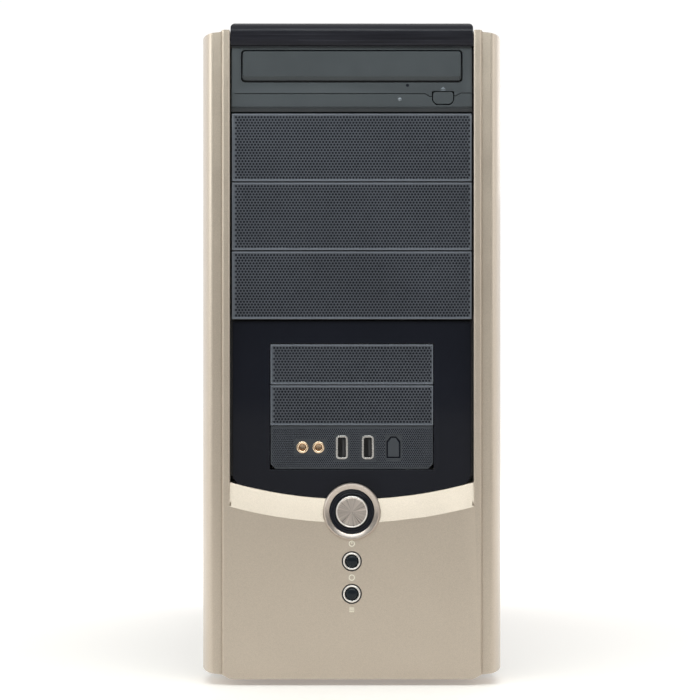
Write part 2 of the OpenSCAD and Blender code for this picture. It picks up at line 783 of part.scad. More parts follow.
module right_side_panel() {
  color([0.16, 0.16, 0.17]) {
    block(skin_x - panel_sheet, skin_x, front_y + 1, rear_out + 0.2 + panel_sheet, base_z + 1, lid_z - 0.4);
    difference() {
      block(thumb_x - 6.5, skin_x - panel_sheet, rear_out + 0.2, rear_out + 0.2 + panel_sheet, base_z + 1, lid_z - 0.4);
      for (z = thumb_z) rod_y(thumb_x, z, rear_out - 1, rear_out + 3, screw_r + screw_gap);
    }
  }
}

module left_side_panel() {
  mirror([1, 0, 0]) right_side_panel();
}

module right_thumbscrews() {
  head_y = rear_out + 0.2 + panel_sheet;
  color([0.2, 0.2, 0.21]) for (z = thumb_z) {
    rod_y(thumb_x, z, head_y, overall_d / 2, thumb_head_r);
    rod_y(thumb_x, z, head_y - 11, head_y + 1, screw_r);
  }
}

module left_thumbscrews() {
  mirror([1, 0, 0]) right_thumbscrews();
}

// ---- Fans ----

// Square fan frame at the origin, blowing along +Z, with a motor cup on four struts
module fan_frame(size, t) {
  difference() {
    translate([-size / 2, -size / 2, 0]) cube([size, size, t]);
    translate([0, 0, -1]) cylinder(h = t + 2, r = size / 2 - 2);
    for (x = [-1, 1], y = [-1, 1])
      translate([x * (size / 2 - 4.25), y * (size / 2 - 4.25), -1]) cylinder(h = t + 2, r = 2.15);
  }
  difference() {
    cylinder(h = 2.5, r = size * 0.2);
    translate([0, 0, 1]) cylinder(h = t, r = 1.55);
  }
  for (a = [0 : 90 : 270]) rotate([0, 0, a + 20]) translate([size * 0.18, -1.5, 0.2])
    cube([size * 0.31, 3, 2.1]);
}

// Impeller for the same frame: hub, shaft and pitched blades
module fan_rotor(size, t, blades) {
  r = size / 2 - 2 - fan_gap;
  hub = size * 0.2;
  translate([0, 0, 3]) cylinder(h = t - 4, r = hub);
  translate([0, 0, 1.2]) cylinder(h = 3, r = 1.5);
  intersection() {
    translate([0, 0, 3.2]) cylinder(h = t - 4.4, r = r);
    for (i = [0 : blades - 1]) rotate([0, 0, i * 360 / blades]) translate([hub - 1, 0, t / 2 + 1])
      rotate([40, 0, 0]) translate([0, -size * 0.15, -0.7]) cube([r, size * 0.3, 1.4]);
  }
}

module at_rear_fan() {
  translate([rear_fan_x, rear_in, rear_fan_z]) rotate([90, 0, 0]) children();
}
module at_psu_fan() {
  translate([psu_fan_x, rear_in - psu_wall, psu_fan_z]) rotate([90, 0, 0]) children();
}
module at_cpu_fan() {
  translate([cooler_x1 - cooler_h - cpu_fan_t, cooler_y, cooler_z]) rotate([0, 90, 0]) children();
}

module fan_frames() {
  color([0.1, 0.1, 0.11]) {
    at_rear_fan() fan_frame(fan_size, fan_t);
    at_psu_fan() fan_frame(fan_size, fan_t);
    at_cpu_fan() fan_frame(cpu_fan_size, cpu_fan_t);
  }
}
module rear_fan_rotor() {
  color([0.12, 0.12, 0.13]) at_rear_fan() fan_rotor(fan_size, fan_t, 7);
}
module psu_fan_rotor() {
  color([0.12, 0.12, 0.13]) at_psu_fan() fan_rotor(fan_size, fan_t, 7);
}
module cpu_fan_rotor() {
  color([0.12, 0.12, 0.13]) at_cpu_fan() fan_rotor(cpu_fan_size, cpu_fan_t, 7);
}

// ---- Power supply ----

module psu_case() {
  color([0.74, 0.75, 0.76]) {
    block(psu_x0, psu_x1, psu_y0, rear_in, psu_z0, psu_z0 + psu_wall);
    difference() {
      block(psu_x0, psu_x1, psu_y0, psu_y0 + psu_wall, psu_z0, psu_z1 - psu_wall);
      for (x = [psu_x0 + 24 : 8 : psu_x1 - 24])
        block(x - 1.5, x + 1.5, psu_y0 - 1, psu_y0 + 2, psu_z0 + 34, psu_z1 - 12);
      rod_y(psu_x0 + 14, psu_z0 + 18, psu_y0 - 1, psu_y0 + 2, 6.2);
    }
    difference() {
      block(psu_x0, psu_x1, rear_in - psu_wall, rear_in, psu_z0, psu_z1 - psu_wall);
      rod_y(psu_fan_x, psu_fan_z, rear_in - 2, rear_in + 1, 37.5);
      block(inlet_x - 13.9, inlet_x + 13.9, rear_in - 2, rear_in + 1, inlet_z - 10, inlet_z + 10);
      block(inlet_x - 9.6, inlet_x + 9.6, rear_in - 2, rear_in + 1, rocker_z - 6.6, rocker_z + 6.6);
      block(inlet_x - 8, inlet_x + 8, rear_in - 2, rear_in + 1, selector_z - 3.4, selector_z + 3.4);
      for (x = [-35.75, 35.75], z = [-35.75, 35.75])
        rod_y(psu_fan_x + x, psu_fan_z + z, rear_in - 2, rear_in + 1, 2.2);
    }
  }
}

module psu_cover() {
  color([0.74, 0.75, 0.76]) {
    block(psu_x0, psu_x1, psu_y0, rear_in, psu_z1 - psu_wall, psu_z1);
    for (x = [psu_x0, psu_x1 - psu_wall])
      block(x, x + psu_wall, psu_y0 + psu_wall, rear_in - psu_wall, psu_z0 + psu_wall, psu_z1 - psu_wall);
  }
}

module psu_board() {
  z0 = psu_z0 + psu_wall;
  y1 = rear_in - 30;
  color([0.62, 0.55, 0.32]) {
    block(psu_x0 + 4, psu_x1 - 4, psu_y0 + 6, y1, z0 + 4, z0 + 5.6);
    for (x = [psu_x0 + 10, psu_x1 - 10], y = [psu_y0 + 12, y1 - 6]) rod_z(x, y, z0, z0 + 4.5, 3);
    block(psu_x0 + 60, psu_x0 + 96, psu_y0 + 40, psu_y0 + 74, z0 + 5, z0 + 40);
    for (x = [psu_x0 + 40, psu_x0 + 110]) block(x, x + 4, psu_y0 + 14, y1 - 6, z0 + 5, z0 + 62);
    for (y = [psu_y0 + 26, psu_y0 + 54]) rod_z(psu_x1 - 18, y, z0 + 5, z0 + 40, 11);
  }
}

// Fan guard: rings tied by two straight bars, with an eye at each screw
module psu_fan_guard() {
  wire = 1.6;
  y0 = rear_in;
  color([0.8, 0.8, 0.82]) {
    for (r = [8, 17, 26, 35]) rod_ring(psu_fan_x, psu_fan_z, y0, y0 + wire, r, wire);
    for (a = [45, 135]) translate([psu_fan_x, 0, psu_fan_z]) rotate([0, a, 0])
      for (side = [-1, 1]) translate([side * 27.6, 0, 0]) block(-20, 20, y0 + 0.1, y0 + wire - 0.1, -wire / 2, wire / 2);
    for (x = [-35.75, 35.75], z = [-35.75, 35.75])
      rod_ring(psu_fan_x + x, psu_fan_z + z, y0, y0 + wire, 2.2, 1.8);
  }
}

// Mains inlet: a shell with two cut corners and three flat pins set well below its mouth
function inlet_outline(w, h, cut) = [
  [-w, h - cut], [-w + cut, h], [w - cut, h], [w, h - cut], [w, -h], [-w, -h]
];

module mains_inlet() {
  color([0.1, 0.1, 0.1]) difference() {
    union() {
      along_y(rear_in, rear_in + 2.4) translate([inlet_x, inlet_z]) square([31, 23.6], center = true);
      block(inlet_x - 13.7, inlet_x + 13.7, rear_in - 18, rear_in + 1, inlet_z - 9.8, inlet_z + 9.8);
    }
    along_y(rear_in - 15, rear_in + 3) translate([inlet_x, inlet_z]) polygon(inlet_outline(12, 8.2, 4));
  }
  color([0.1, 0.1, 0.1]) {
    difference() {
      union() {
        along_y(rear_in, rear_in + 1.2) translate([inlet_x, rocker_z]) square([21.4, 15.4], center = true);
        block(inlet_x - 9.5, inlet_x + 9.5, rear_in - 15, rear_in + 1, rocker_z - 6.5, rocker_z + 6.5);
      }
      block(inlet_x - 8.9, inlet_x + 8.9, rear_in - 8, rear_in + 3, rocker_z - 6, rocker_z + 6);
      rod_z(inlet_x, rear_in - 1, rocker_z - 7, rocker_z + 7, 1.3);
    }
    block(inlet_x - 10, inlet_x + 10, rear_in - 10, rear_in - 4.3, selector_z - 5, selector_z + 5);
  }
  color([0.8, 0.8, 0.8]) for (p = [[0, 2], [-7, -2], [7, -2]])
    block(inlet_x + p[0] - 1, inlet_x + p[0] + 1, rear_in - 15, rear_in - 3, inlet_z + p[1] - 2, inlet_z + p[1] + 2);
}

// Rocker seen from above: a shallow vee whose ends stand out in turn as it tips on its two pins
module mains_switch() {
  color([0.08, 0.08, 0.08]) {
    translate([inlet_x, rear_in - 1, rocker_z - 5.6]) rotate([0, 0, rocker_tilt])
      linear_extrude(11.2) polygon([[-7.4, -4], [7.4, -4], [8.3, 2.2], [0, 1.3], [-8.3, 2.2]]);
    rod_z(inlet_x, rear_in - 1, rocker_z - 6.3, rocker_z + 6.3, 1);
  }
}

module voltage_selector() {
  color([0.75, 0.15, 0.12])
    block(inlet_x - 7.6, inlet_x - 3.6, rear_in - 4, rear_in + 0.4, selector_z - 3, selector_z + 3);
}

// ---- Motherboard ----

module motherboard() {
  color([0.12, 0.36, 0.24]) {
    block(board_x0, board_x1, board_y0, board_y1, board_z0, board_z1);
    block(board_x0 - 8, board_x0, cooler_y - 28, cooler_y + 28, cooler_z - 28, cooler_z + 28);
    for (i = [0 : slot_count - 1]) {
      z = slot_top - i * slot_pitch;
      block(board_x0 - 11, board_x0, board_y1 - 150, board_y1 - 62, z - 4, z + 4);
    }
    for (y = [board_y0 + 60, board_y0 + 74])
      block(board_x0 - 6, board_x0, y - 3, y + 3, board_z1 - 150, board_z1 - 10);
    block(board_x0 - 10, board_x0, board_y0 + 8, board_y0 + 18, board_z1 - 80, board_z1 - 26);
    block(board_x0 - 12, board_x0, board_y0 + 40, board_y0 + 76, board_z0 + 12, board_z0 + 48);
    block(board_x0 - 8, board_x0, board_y0 + 14, board_y0 + 22, board_z0 + 8, board_z0 + 28);
    for (y = [board_y1 - 42, board_y1 - 54], z = [cooler_z - 54, cooler_z - 66, cooler_z - 78])
      rod_x(y, z, board_x0 - 16, board_x0, 4.5);
  }
}

module rear_sockets() {
  y0 = board_y1 - 20;
  y1 = rear_out + 1;
  x1 = io_x1 - 0.4;
  color([0.55, 0.56, 0.6]) {
    for (z = [io_z0 + 16, io_z0 + 44, io_z0 + 72]) {
      difference() {
        block(x1 - 30, x1, y0, y1, z - 7.5, z + 7.5);
        for (x = [x1 - 28, x1 - 14]) block(x, x + 12, y1 - 10, y1 + 1, z - 5, z + 5);
      }
      block(x1 - 30, board_x0, y0, board_y1 - 6, z - 7.5, z + 7.5);
    }
    difference() {
      block(x1 - 12, x1, y0, y1, io_z0 + 94, io_z0 + 126);
      block(x1 - 10, x1 - 3, y1 - 8, y1 + 1, io_z0 + 98, io_z0 + 122);
    }
    block(x1 - 12, board_x0, y0, board_y1 - 6, io_z0 + 94, io_z0 + 126);
    for (x = [x1 - 25, x1 - 9]) difference() {
      rod_y(x, io_z0 + 142, y0, y1, 6.6);
      rod_y(x, io_z0 + 142, y1 - 9, y1 + 1, 4.4);
    }
    block(x1 - 31, board_x0, y0, board_y1 - 12, io_z0 + 135, io_z0 + 149);
  }
}

module io_shield() {
  x1 = io_x1 - 0.4;
  color([0.78, 0.79, 0.8]) difference() {
    block(io_x0 - 1.5, io_x1, rear_in - 0.5, rear_in, io_z0 - 1.5, io_z1 + 1.5);
    for (z = [io_z0 + 16, io_z0 + 44, io_z0 + 72])
      block(x1 - 30.4, io_x1 + 1, rear_in - 1, rear_in + 1, z - 7.9, z + 7.9);
    block(x1 - 12.4, io_x1 + 1, rear_in - 1, rear_in + 1, io_z0 + 93.6, io_z0 + 126.4);
    for (x = [x1 - 25, x1 - 9]) rod_y(x, io_z0 + 142, rear_in - 1, rear_in + 1, 7);
  }
}

module slot_covers() {
  color([0.76, 0.77, 0.78]) for (i = [0 : slot_count - 1]) {
    z = slot_top - i * slot_pitch;
    block(io_x1 - 112, io_x1 - 1, rear_in - 0.9, rear_in, z - 9, z + 9);
  }
}

module cpu_heatsink() {
  x0 = cooler_x1 - cooler_h;
  half = cooler_side / 2;
  color([0.75, 0.76, 0.78]) {
    block(cooler_x1 - 8, cooler_x1, cooler_y - half, cooler_y + half, cooler_z - half, cooler_z + half);
    for (k = [0 : 12]) {
      y = cooler_y - half + k * (cooler_side - 1.6) / 12;
      block(x0, cooler_x1 - 7, y, y + 1.6, cooler_z - half, cooler_z + half);
    }
  }
}

module memory_modules() {
  color([0.1, 0.3, 0.16]) for (y = [board_y0 + 60, board_y0 + 74]) {
    block(board_x0 - 36, board_x0 - 6, y - 0.7, y + 0.7, board_z1 - 147, board_z1 - 13);
    for (k = [0 : 7]) block(board_x0 - 28, board_x0 - 14, y - 1.9, y + 1.9,
      board_z1 - 144 + k * 16.5, board_z1 - 132 + k * 16.5);
  }
}

// ---- Fasteners and leads ----

// Pan-head screw in the rear wall
module rear_screw(x, z, y_seat) {
  rod_y(x, z, y_seat, y_seat + 2, 3.4);
  rod_y(x, z, y_seat - 5, y_seat + 1, 1.5);
}

module case_screws() {
  color([0.75, 0.75, 0.76]) {
    for (x = [-35.75, 35.75], z = [-35.75, 35.75]) {
      rear_screw(rear_fan_x + x, rear_fan_z + z, rear_out);
      rear_screw(psu_fan_x + x, psu_fan_z + z, rear_in + 1.6);
    }
  }
}

lead_hole_x = 66;
lead_hole_z = base_z + 30;

// Routes of the two leads, each a hand-placed run of points
power_lead_r = 5;
power_lead = [
  [psu_x0 + 14, psu_y0 + 2, psu_z0 + 18], [psu_x0 + 14, psu_y0 - 12, psu_z0 + 14],
  [psu_x0 + 20, psu_y0 - 26, psu_z0 - 2], [psu_x0 + 40, psu_y0 - 38, psu_z0 - 24],
  [psu_x0 + 70, board_y0 + 30, board_z1 - 34], [psu_x0 + 100, board_y0 + 18, board_z1 - 44],
  [board_x0 - 26, board_y0 + 13, board_z1 - 53], [board_x0 - 10.7, board_y0 + 13, board_z1 - 53]
];
front_lead_r = 2;
front_lead = [
  [0, fy(board_d + 8.5), light_z - 3], [0, fy(board_d + 10.6), light_z - 3.4], [6, fy(board_d + 11), light_z - 7],
  [22, fy(board_d + 10), lead_hole_z + 4],
  [48, fy(board_d + 9), lead_hole_z + 1], [lead_hole_x - 2, front_y - 3, lead_hole_z], [lead_hole_x, front_y + 8, lead_hole_z],
  [lead_hole_x, front_y + 60, lead_hole_z - 2], [lead_hole_x, cage_y1 - 20, lead_hole_z],
  [lead_hole_x - 4, board_y0 + 2, lead_hole_z + 10], [lead_hole_x - 8, board_y0 + 14, board_z0 + 4],
  [board_x0 - 14, board_y0 + 18, board_z0 + 18], [board_x0 - 8.4, board_y0 + 18, board_z0 + 18]
];

function smooth(p0, p1, p2, p3, t) = 0.5 * (2 * p1 + (p2 - p0) * t
  + (2 * p0 - 5 * p1 + 4 * p2 - p3) * t * t + (3 * p1 - p0 - 3 * p2 + p3) * t * t * t);
function smooth_route(p, steps) = concat([for (i = [0 : len(p) - 2], k = [0 : steps - 1])
  smooth(p[max(i - 1, 0)], p[i], p[i + 1], p[min(i + 2, len(p) - 1)], k / steps)], [p[len(p) - 1]]);
function unit(v) = v / norm(v);
function side_of(dir) = unit(cross(dir, abs(dir[2]) < 0.9 ? [0, 0, 1] : [1, 0, 0]));
function ring_at(c, dir, r, sides) = let (u = side_of(dir), w = cross(dir, u))
  [for (k = [0 : sides - 1]) c + r * (cos(k * 360 / sides) * u + sin(k * 360 / sides) * w)];

module swept_tube(route, r, sides) {
  n = len(route);
  rings = [for (i = [0 : n - 1])
    ring_at(route[i], unit(route[min(i + 1, n - 1)] - route[max(i - 1, 0)]), r, sides)];
  points = [for (ring = rings) for (p = ring) p];
  walls = [for (i = [0 : n - 2], k = [0 : sides - 1])
    [i * sides + k, i * sides + (k + 1) % sides, (i + 1) * sides + (k + 1) % sides, (i + 1) * sides + k]];
  ends = [[for (k = [sides - 1 : -1 : 0]) k], [for (k = [0 : sides - 1]) (n - 1) * sides + k]];
  polyhedron(points, concat(walls, ends), convexity = 6);
}

module internal_leads() {
  color([0.15, 0.15, 0.16]) {
    swept_tube(smooth_route(power_lead, 4), power_lead_r, 10);
    swept_tube(smooth_route(front_lead, 4), front_lead_r, 8);
  }
}

front_bezel();
bay_frame();
top_cap();
gloss_fascia();
bay_cover(1);  // bay_cover_1
bay_cover(2);  // bay_cover_2
bay_cover(3);  // bay_cover_3
small_cover(0);  // small_cover_1
small_cover(1);  // small_cover_2
io_panel();
audio_jacks();
usb_sockets();
front_boards();
button_collar();
power_light_ring();
power_button();
control_rings();
reset_button();
activity_light();
control_carrier();
drive_case();
drive_bezel();
drive_loader();
disc_tray();
tray_front();
eject_button();
disc_spindle();
loading_gear();
hard_drive();
psu_case();
psu_cover();
psu_board();
psu_fan_rotor();
psu_fan_guard();
mains_inlet();
mains_switch();
voltage_selector();
motherboard();
rear_sockets();
io_shield();
slot_covers();
cpu_heatsink();
cpu_fan_rotor();
memory_modules();
fan_frames();
rear_fan_rotor();
chassis_base();
chassis_top();
chassis_rear();
chassis_front();
motherboard_tray();
wide_drive_cage();
small_drive_cage();
left_side_panel();
right_side_panel();
left_thumbscrews();
right_thumbscrews();
case_screws();
internal_leads();
feet();
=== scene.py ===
import json
import math

import bmesh
import bpy
from mathutils import Matrix, Vector


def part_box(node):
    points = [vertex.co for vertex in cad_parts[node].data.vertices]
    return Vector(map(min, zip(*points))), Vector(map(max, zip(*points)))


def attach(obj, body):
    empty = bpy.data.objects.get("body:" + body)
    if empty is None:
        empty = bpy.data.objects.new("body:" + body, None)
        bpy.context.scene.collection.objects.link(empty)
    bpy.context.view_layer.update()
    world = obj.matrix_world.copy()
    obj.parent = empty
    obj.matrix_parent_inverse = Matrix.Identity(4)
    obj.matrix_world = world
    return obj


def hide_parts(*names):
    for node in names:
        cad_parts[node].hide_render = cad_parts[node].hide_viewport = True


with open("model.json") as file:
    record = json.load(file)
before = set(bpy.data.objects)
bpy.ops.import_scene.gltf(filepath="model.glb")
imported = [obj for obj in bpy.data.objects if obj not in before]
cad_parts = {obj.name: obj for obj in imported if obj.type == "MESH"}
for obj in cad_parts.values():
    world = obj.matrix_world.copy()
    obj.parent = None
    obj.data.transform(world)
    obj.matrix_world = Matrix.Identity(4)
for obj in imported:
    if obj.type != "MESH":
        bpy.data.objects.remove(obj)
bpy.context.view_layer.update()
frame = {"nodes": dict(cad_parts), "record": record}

MM = 0.001
BODY_OF = {
    node: body
    for body, nodes in frame["record"]["behaviour"]["bodies"].items()
    for node in nodes
}
FACE_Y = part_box("front_bezel")[0][1]


def centre(node):
    """Middle of a node's box."""
    low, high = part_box(node)
    return (Vector(low) + Vector(high)) / 2


def pair_of(node, half):
    """X of the two like items in a node, each of the given half width, in millimetres."""
    low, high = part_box(node)
    return low[0] / MM + half, high[0] / MM - half


JACK_RING_R = 3.7
USB_HALF = 3.8
JACK_X = pair_of("audio_jacks", JACK_RING_R)
USB_X = pair_of("usb_sockets", USB_HALF)
BLANK_X = 25.7  # the blank is moulded into the port panel, so no node's box gives its place
PORTS_Z = centre("usb_sockets").z / MM


# ---------------------------------------------------------------- materials

def new_material(name):
    """An empty node material with its shader and the object's own coordinates."""
    material = bpy.data.materials.new(name)
    material.use_nodes = True
    tree = material.node_tree
    shader = tree.nodes["Principled BSDF"]
    place = tree.nodes.new("ShaderNodeTexCoord").outputs["Object"]
    return material, tree, shader, place


def noise(tree, place, scale, detail=3.0, roughness=0.55):
    """A soft cloud pattern; a larger scale makes it finer."""
    node = tree.nodes.new("ShaderNodeTexNoise")
    node.inputs["Scale"].default_value = scale
    node.inputs["Detail"].default_value = detail
    node.inputs["Roughness"].default_value = roughness
    tree.links.new(place, node.inputs["Vector"])
    return node.outputs["Fac"]


def stretched(tree, place, scale):
    """The coordinates scaled by a different amount along each axis, for brushed grain."""
    node = tree.nodes.new("ShaderNodeMapping")
    node.inputs["Scale"].default_value = scale
    tree.links.new(place, node.inputs["Vector"])
    return node.outputs["Vector"]


def spread(tree, value, low, high):
    """Maps a 0.3 to 0.7 pattern onto a range."""
    node = tree.nodes.new("ShaderNodeMapRange")
    node.inputs["From Min"].default_value = 0.3
    node.inputs["From Max"].default_value = 0.7
    node.inputs["To Min"].default_value = low
    node.inputs["To Max"].default_value = high
    tree.links.new(value, node.inputs["Value"])
    return node.outputs["Result"]


def tinted(tree, value, dark, light):
    """Colour between two tones, by a pattern."""
    node = tree.nodes.new("ShaderNodeMix")
    node.data_type = "RGBA"
    node.inputs["A"].default_value = (*dark, 1)
    node.inputs["B"].default_value = (*light, 1)
    tree.links.new(spread(tree, value, 0, 1), node.inputs["Factor"])
    return node.outputs["Result"]


def bumped(tree, shader, height, strength, distance):
    """Relief from a pattern, for the shader's normal."""
    node = tree.nodes.new("ShaderNodeBump")
    node.inputs["Strength"].default_value = strength
    node.inputs["Distance"].default_value = distance
    tree.links.new(height, node.inputs["Height"])
    tree.links.new(node.outputs["Normal"], shader.inputs["Normal"])


def worn_edges(tree, colour, worn, amount):
    """Lightens convex edges a little, as handling does."""
    geometry = tree.nodes.new("ShaderNodeNewGeometry")
    ramp = tree.nodes.new("ShaderNodeMapRange")
    ramp.inputs["From Min"].default_value = 0.52
    ramp.inputs["From Max"].default_value = 0.62
    ramp.inputs["To Max"].default_value = amount
    tree.links.new(geometry.outputs["Pointiness"], ramp.inputs["Value"])
    mix = tree.nodes.new("ShaderNodeMix")
    mix.data_type = "RGBA"
    mix.inputs["B"].default_value = (*worn, 1)
    tree.links.new(ramp.outputs["Result"], mix.inputs["Factor"])
    tree.links.new(colour, mix.inputs["A"])
    return mix.outputs["Result"]


def scaled(colour, factor):
    """The colour made darker or lighter by a factor."""
    return tuple(min(1.0, c * factor) for c in colour)


def moulded_plastic(name, colour, rough, grain=2600, relief=0.00004, coat=0.0, strength=0.25,
                    specular=0.5):
    """Moulded plastic: faint tone changes, a fine spark-eroded grain and lighter rubbed edges."""
    material, tree, shader, place = new_material(name)
    cloud = noise(tree, place, 18, 4)
    tone = tinted(tree, cloud, scaled(colour, 0.9), scaled(colour, 1.1))
    tree.links.new(worn_edges(tree, tone, scaled(colour, 1.9), 0.35), shader.inputs["Base Color"])
    tree.links.new(spread(tree, noise(tree, place, 140, 5), rough - 0.06, rough + 0.07),
                   shader.inputs["Roughness"])
    shader.inputs["Coat Weight"].default_value = coat
    shader.inputs["Specular IOR Level"].default_value = specular
    shader.inputs["Coat Roughness"].default_value = 0.08
    bumped(tree, shader, noise(tree, place, grain, 2), strength, relief)
    return material


def metallic_paint(name, colour, rough=0.34, metal=0.75):
    """Champagne metallic lacquer: fine flake sparkle under a soft clear coat."""
    material, tree, shader, place = new_material(name)
    flake = tree.nodes.new("ShaderNodeTexVoronoi")
    flake.inputs["Scale"].default_value = 4200
    tree.links.new(place, flake.inputs["Vector"])
    split = tree.nodes.new("ShaderNodeSeparateColor")
    tree.links.new(flake.outputs["Color"], split.inputs["Color"])
    fine = tinted(tree, split.outputs["Red"], scaled(colour, 0.93), scaled(colour, 1.06))
    tree.links.new(worn_edges(tree, fine, scaled(colour, 1.2), 0.4), shader.inputs["Base Color"])
    tree.links.new(spread(tree, noise(tree, place, 60, 5), rough - 0.03, rough + 0.04),
                   shader.inputs["Roughness"])
    shader.inputs["Metallic"].default_value = metal
    shader.inputs["Coat Weight"].default_value = 0.25
    shader.inputs["Coat Roughness"].default_value = 0.12
    bumped(tree, shader, split.outputs["Green"], 0.05, 0.00003)
    return material


def piano_gloss(name, colour):
    """Deep gloss plastic with a slight orange peel and hairline haze."""
    material, tree, shader, place = new_material(name)
    tone = tinted(tree, noise(tree, place, 9, 3), scaled(colour, 0.85), scaled(colour, 1.15))
    tree.links.new(tone, shader.inputs["Base Color"])
    tree.links.new(spread(tree, noise(tree, place, 220, 6), 0.04, 0.09), shader.inputs["Roughness"])
    shader.inputs["Specular IOR Level"].default_value = 0.17
    bumped(tree, shader, noise(tree, place, 160, 2), 0.03, 0.00006)
    return material


def streaked_gloss(name, colour):
    """Gloss plastic with faint lengthwise flow lines that break its reflections."""
    material, tree, shader, place = new_material(name)
    lines = noise(tree, stretched(tree, place, (2.5, 30, 110)), 6, 3)
    tone = tinted(tree, lines, scaled(colour, 0.7), scaled(colour, 1.5))
    tree.links.new(tone, shader.inputs["Base Color"])
    tree.links.new(spread(tree, lines, 0.16, 0.3), shader.inputs["Roughness"])
    shader.inputs["Specular IOR Level"].default_value = 0.15
    bumped(tree, shader, lines, 0.35, 0.0004)
    return material


def bare_metal(name, colour, rough, grain=(60, 60, 60), strength=0.12):
    """Bare metal with drawn or cast grain; grain sets the scale along each axis."""
    material, tree, shader, place = new_material(name)
    lines = noise(tree, stretched(tree, place, grain), 20, 4)
    tone = tinted(tree, lines, scaled(colour, 0.88), scaled(colour, 1.08))
    tree.links.new(worn_edges(tree, tone, scaled(colour, 1.25), 0.4), shader.inputs["Base Color"])
    tree.links.new(spread(tree, lines, rough - 0.05, rough + 0.08), shader.inputs["Roughness"])
    shader.inputs["Metallic"].default_value = 1.0
    bumped(tree, shader, lines, strength, 0.00005)
    return material


def zinc_sheet(name):
    """Zinc-plated sheet with its soft crystal spangle and a little handling haze."""
    material, tree, shader, place = new_material(name)
    spangle = tree.nodes.new("ShaderNodeTexVoronoi")
    spangle.inputs["Scale"].default_value = 260
    tree.links.new(place, spangle.inputs["Vector"])
    split = tree.nodes.new("ShaderNodeSeparateColor")
    tree.links.new(spangle.outputs["Color"], split.inputs["Color"])
    tone = tinted(tree, split.outputs["Red"], (0.47, 0.48, 0.495), (0.53, 0.54, 0.55))
    tree.links.new(worn_edges(tree, tone, (0.8, 0.8, 0.8), 0.3), shader.inputs["Base Color"])
    tree.links.new(spread(tree, split.outputs["Green"], 0.33, 0.44), shader.inputs["Roughness"])
    shader.inputs["Metallic"].default_value = 0.9
    bumped(tree, shader, noise(tree, place, 900, 3), 0.08, 0.00003)
    return material


def spun_metal_with_highlights(name, colour, centre_point):
    """Metal brushed in lines that run out from the button's own middle; their strong light and dark
    in the colour is partly brushed grain and partly painted highlight streaks.
    """
    material, tree, shader, place = new_material(name)
    shift = tree.nodes.new("ShaderNodeMapping")
    shift.vector_type = "POINT"
    shift.inputs["Location"].default_value = tuple(-c for c in centre_point)
    tree.links.new(place, shift.inputs["Vector"])
    flat = tree.nodes.new("ShaderNodeVectorMath")
    flat.operation = "MULTIPLY"
    flat.inputs[1].default_value = (1, 0, 1)
    tree.links.new(shift.outputs["Vector"], flat.inputs[0])
    ray = tree.nodes.new("ShaderNodeVectorMath")
    ray.operation = "NORMALIZE"
    tree.links.new(flat.outputs["Vector"], ray.inputs[0])
    grain_and_highlight_rays = noise(tree, ray.outputs["Vector"], 3.2, 6, 0.75)
    # painted highlight: the colour swings from half to one and a half times the metal's tone along
    # the lines, standing in for the bright and dark streaks of spun metal
    tone = tinted(tree, grain_and_highlight_rays, scaled(colour, 0.5), scaled(colour, 1.5))
    tree.links.new(tone, shader.inputs["Base Color"])
    tree.links.new(spread(tree, grain_and_highlight_rays, 0.24, 0.36), shader.inputs["Roughness"])
    shader.inputs["Metallic"].default_value = 1.0
    bumped(tree, shader, grain_and_highlight_rays, 0.12, 0.00004)
    return material


CHAMPAGNE = metallic_paint("champagne_lacquer", (0.56, 0.48, 0.395), 0.34, 0.62)
COLLAR_METAL = bare_metal("champagne_collar", (0.55, 0.48, 0.43), 0.36, (30, 240, 30), 0.04)
RIM_METAL = bare_metal("polished_rim", (0.92, 0.87, 0.82), 0.3, (20, 60, 20), 0.03)
SPUN_HIGHLIGHTED = spun_metal_with_highlights("spun_button_metal_painted_highlights", (0.56, 0.50, 0.46), tuple(centre("power_button")))
GLOSS_BLACK = piano_gloss("piano_black", (0.010, 0.011, 0.016))
CAP_GLOSS = streaked_gloss("streaked_black", (0.014, 0.014, 0.018))
SMOKED = piano_gloss("smoked_lens", (0.013, 0.017, 0.021))
CHARCOAL = moulded_plastic("charcoal_plastic", (0.036, 0.041, 0.049), 0.4)
WEB_GREY = moulded_plastic("dimpled_charcoal", (0.088, 0.097, 0.115), 0.36)
# painted shade: near-black, barely glossy plastic for the pit floors of the covers and port panel,
# the release hole and the gap round the port blank
PAINTED_SHADE = moulded_plastic("dimple_shade", (0.006, 0.007, 0.011), 0.6, specular=0.08)
DRIVE_GREY = moulded_plastic("drive_plastic", (0.046, 0.053, 0.058), 0.42, 3200, specular=0.3)
# painted shade: near-black plastic for the backing behind the drive face and the sill under the tray,
# seen only through gaps
DRIVE_GAP_SHADE = moulded_plastic("drive_gap_shade", (0.012, 0.013, 0.015), 0.5)
LAMP_GREY = moulded_plastic("lamp_lens", (0.15, 0.17, 0.19), 0.2, coat=0.5)
MARK_GOLD = moulded_plastic("control_mark_paint", (0.76, 0.70, 0.53), 0.45)
SOCKET_GREEN = moulded_plastic("round_socket_green", (0.05, 0.32, 0.12), 0.35)
SOCKET_PURPLE = moulded_plastic("round_socket_purple", (0.2, 0.09, 0.32), 0.35)
INNER_BLACK = moulded_plastic("inner_black_plastic", (0.022, 0.022, 0.024), 0.5)
FAN_BLACK = moulded_plastic("fan_plastic", (0.018, 0.018, 0.02), 0.4)
CREAM = moulded_plastic("gear_plastic", (0.72, 0.71, 0.66), 0.4)
SWITCH_RED = moulded_plastic("selector_plastic", (0.5, 0.03, 0.02), 0.35)
BLACK_STEEL = moulded_plastic("textured_black_paint", (0.026, 0.026, 0.029), 0.46, 1500, 0.00008,
                              strength=0.5)
RUBBER = moulded_plastic("foot_rubber", (0.02, 0.02, 0.02), 0.75, 900, 0.0001)
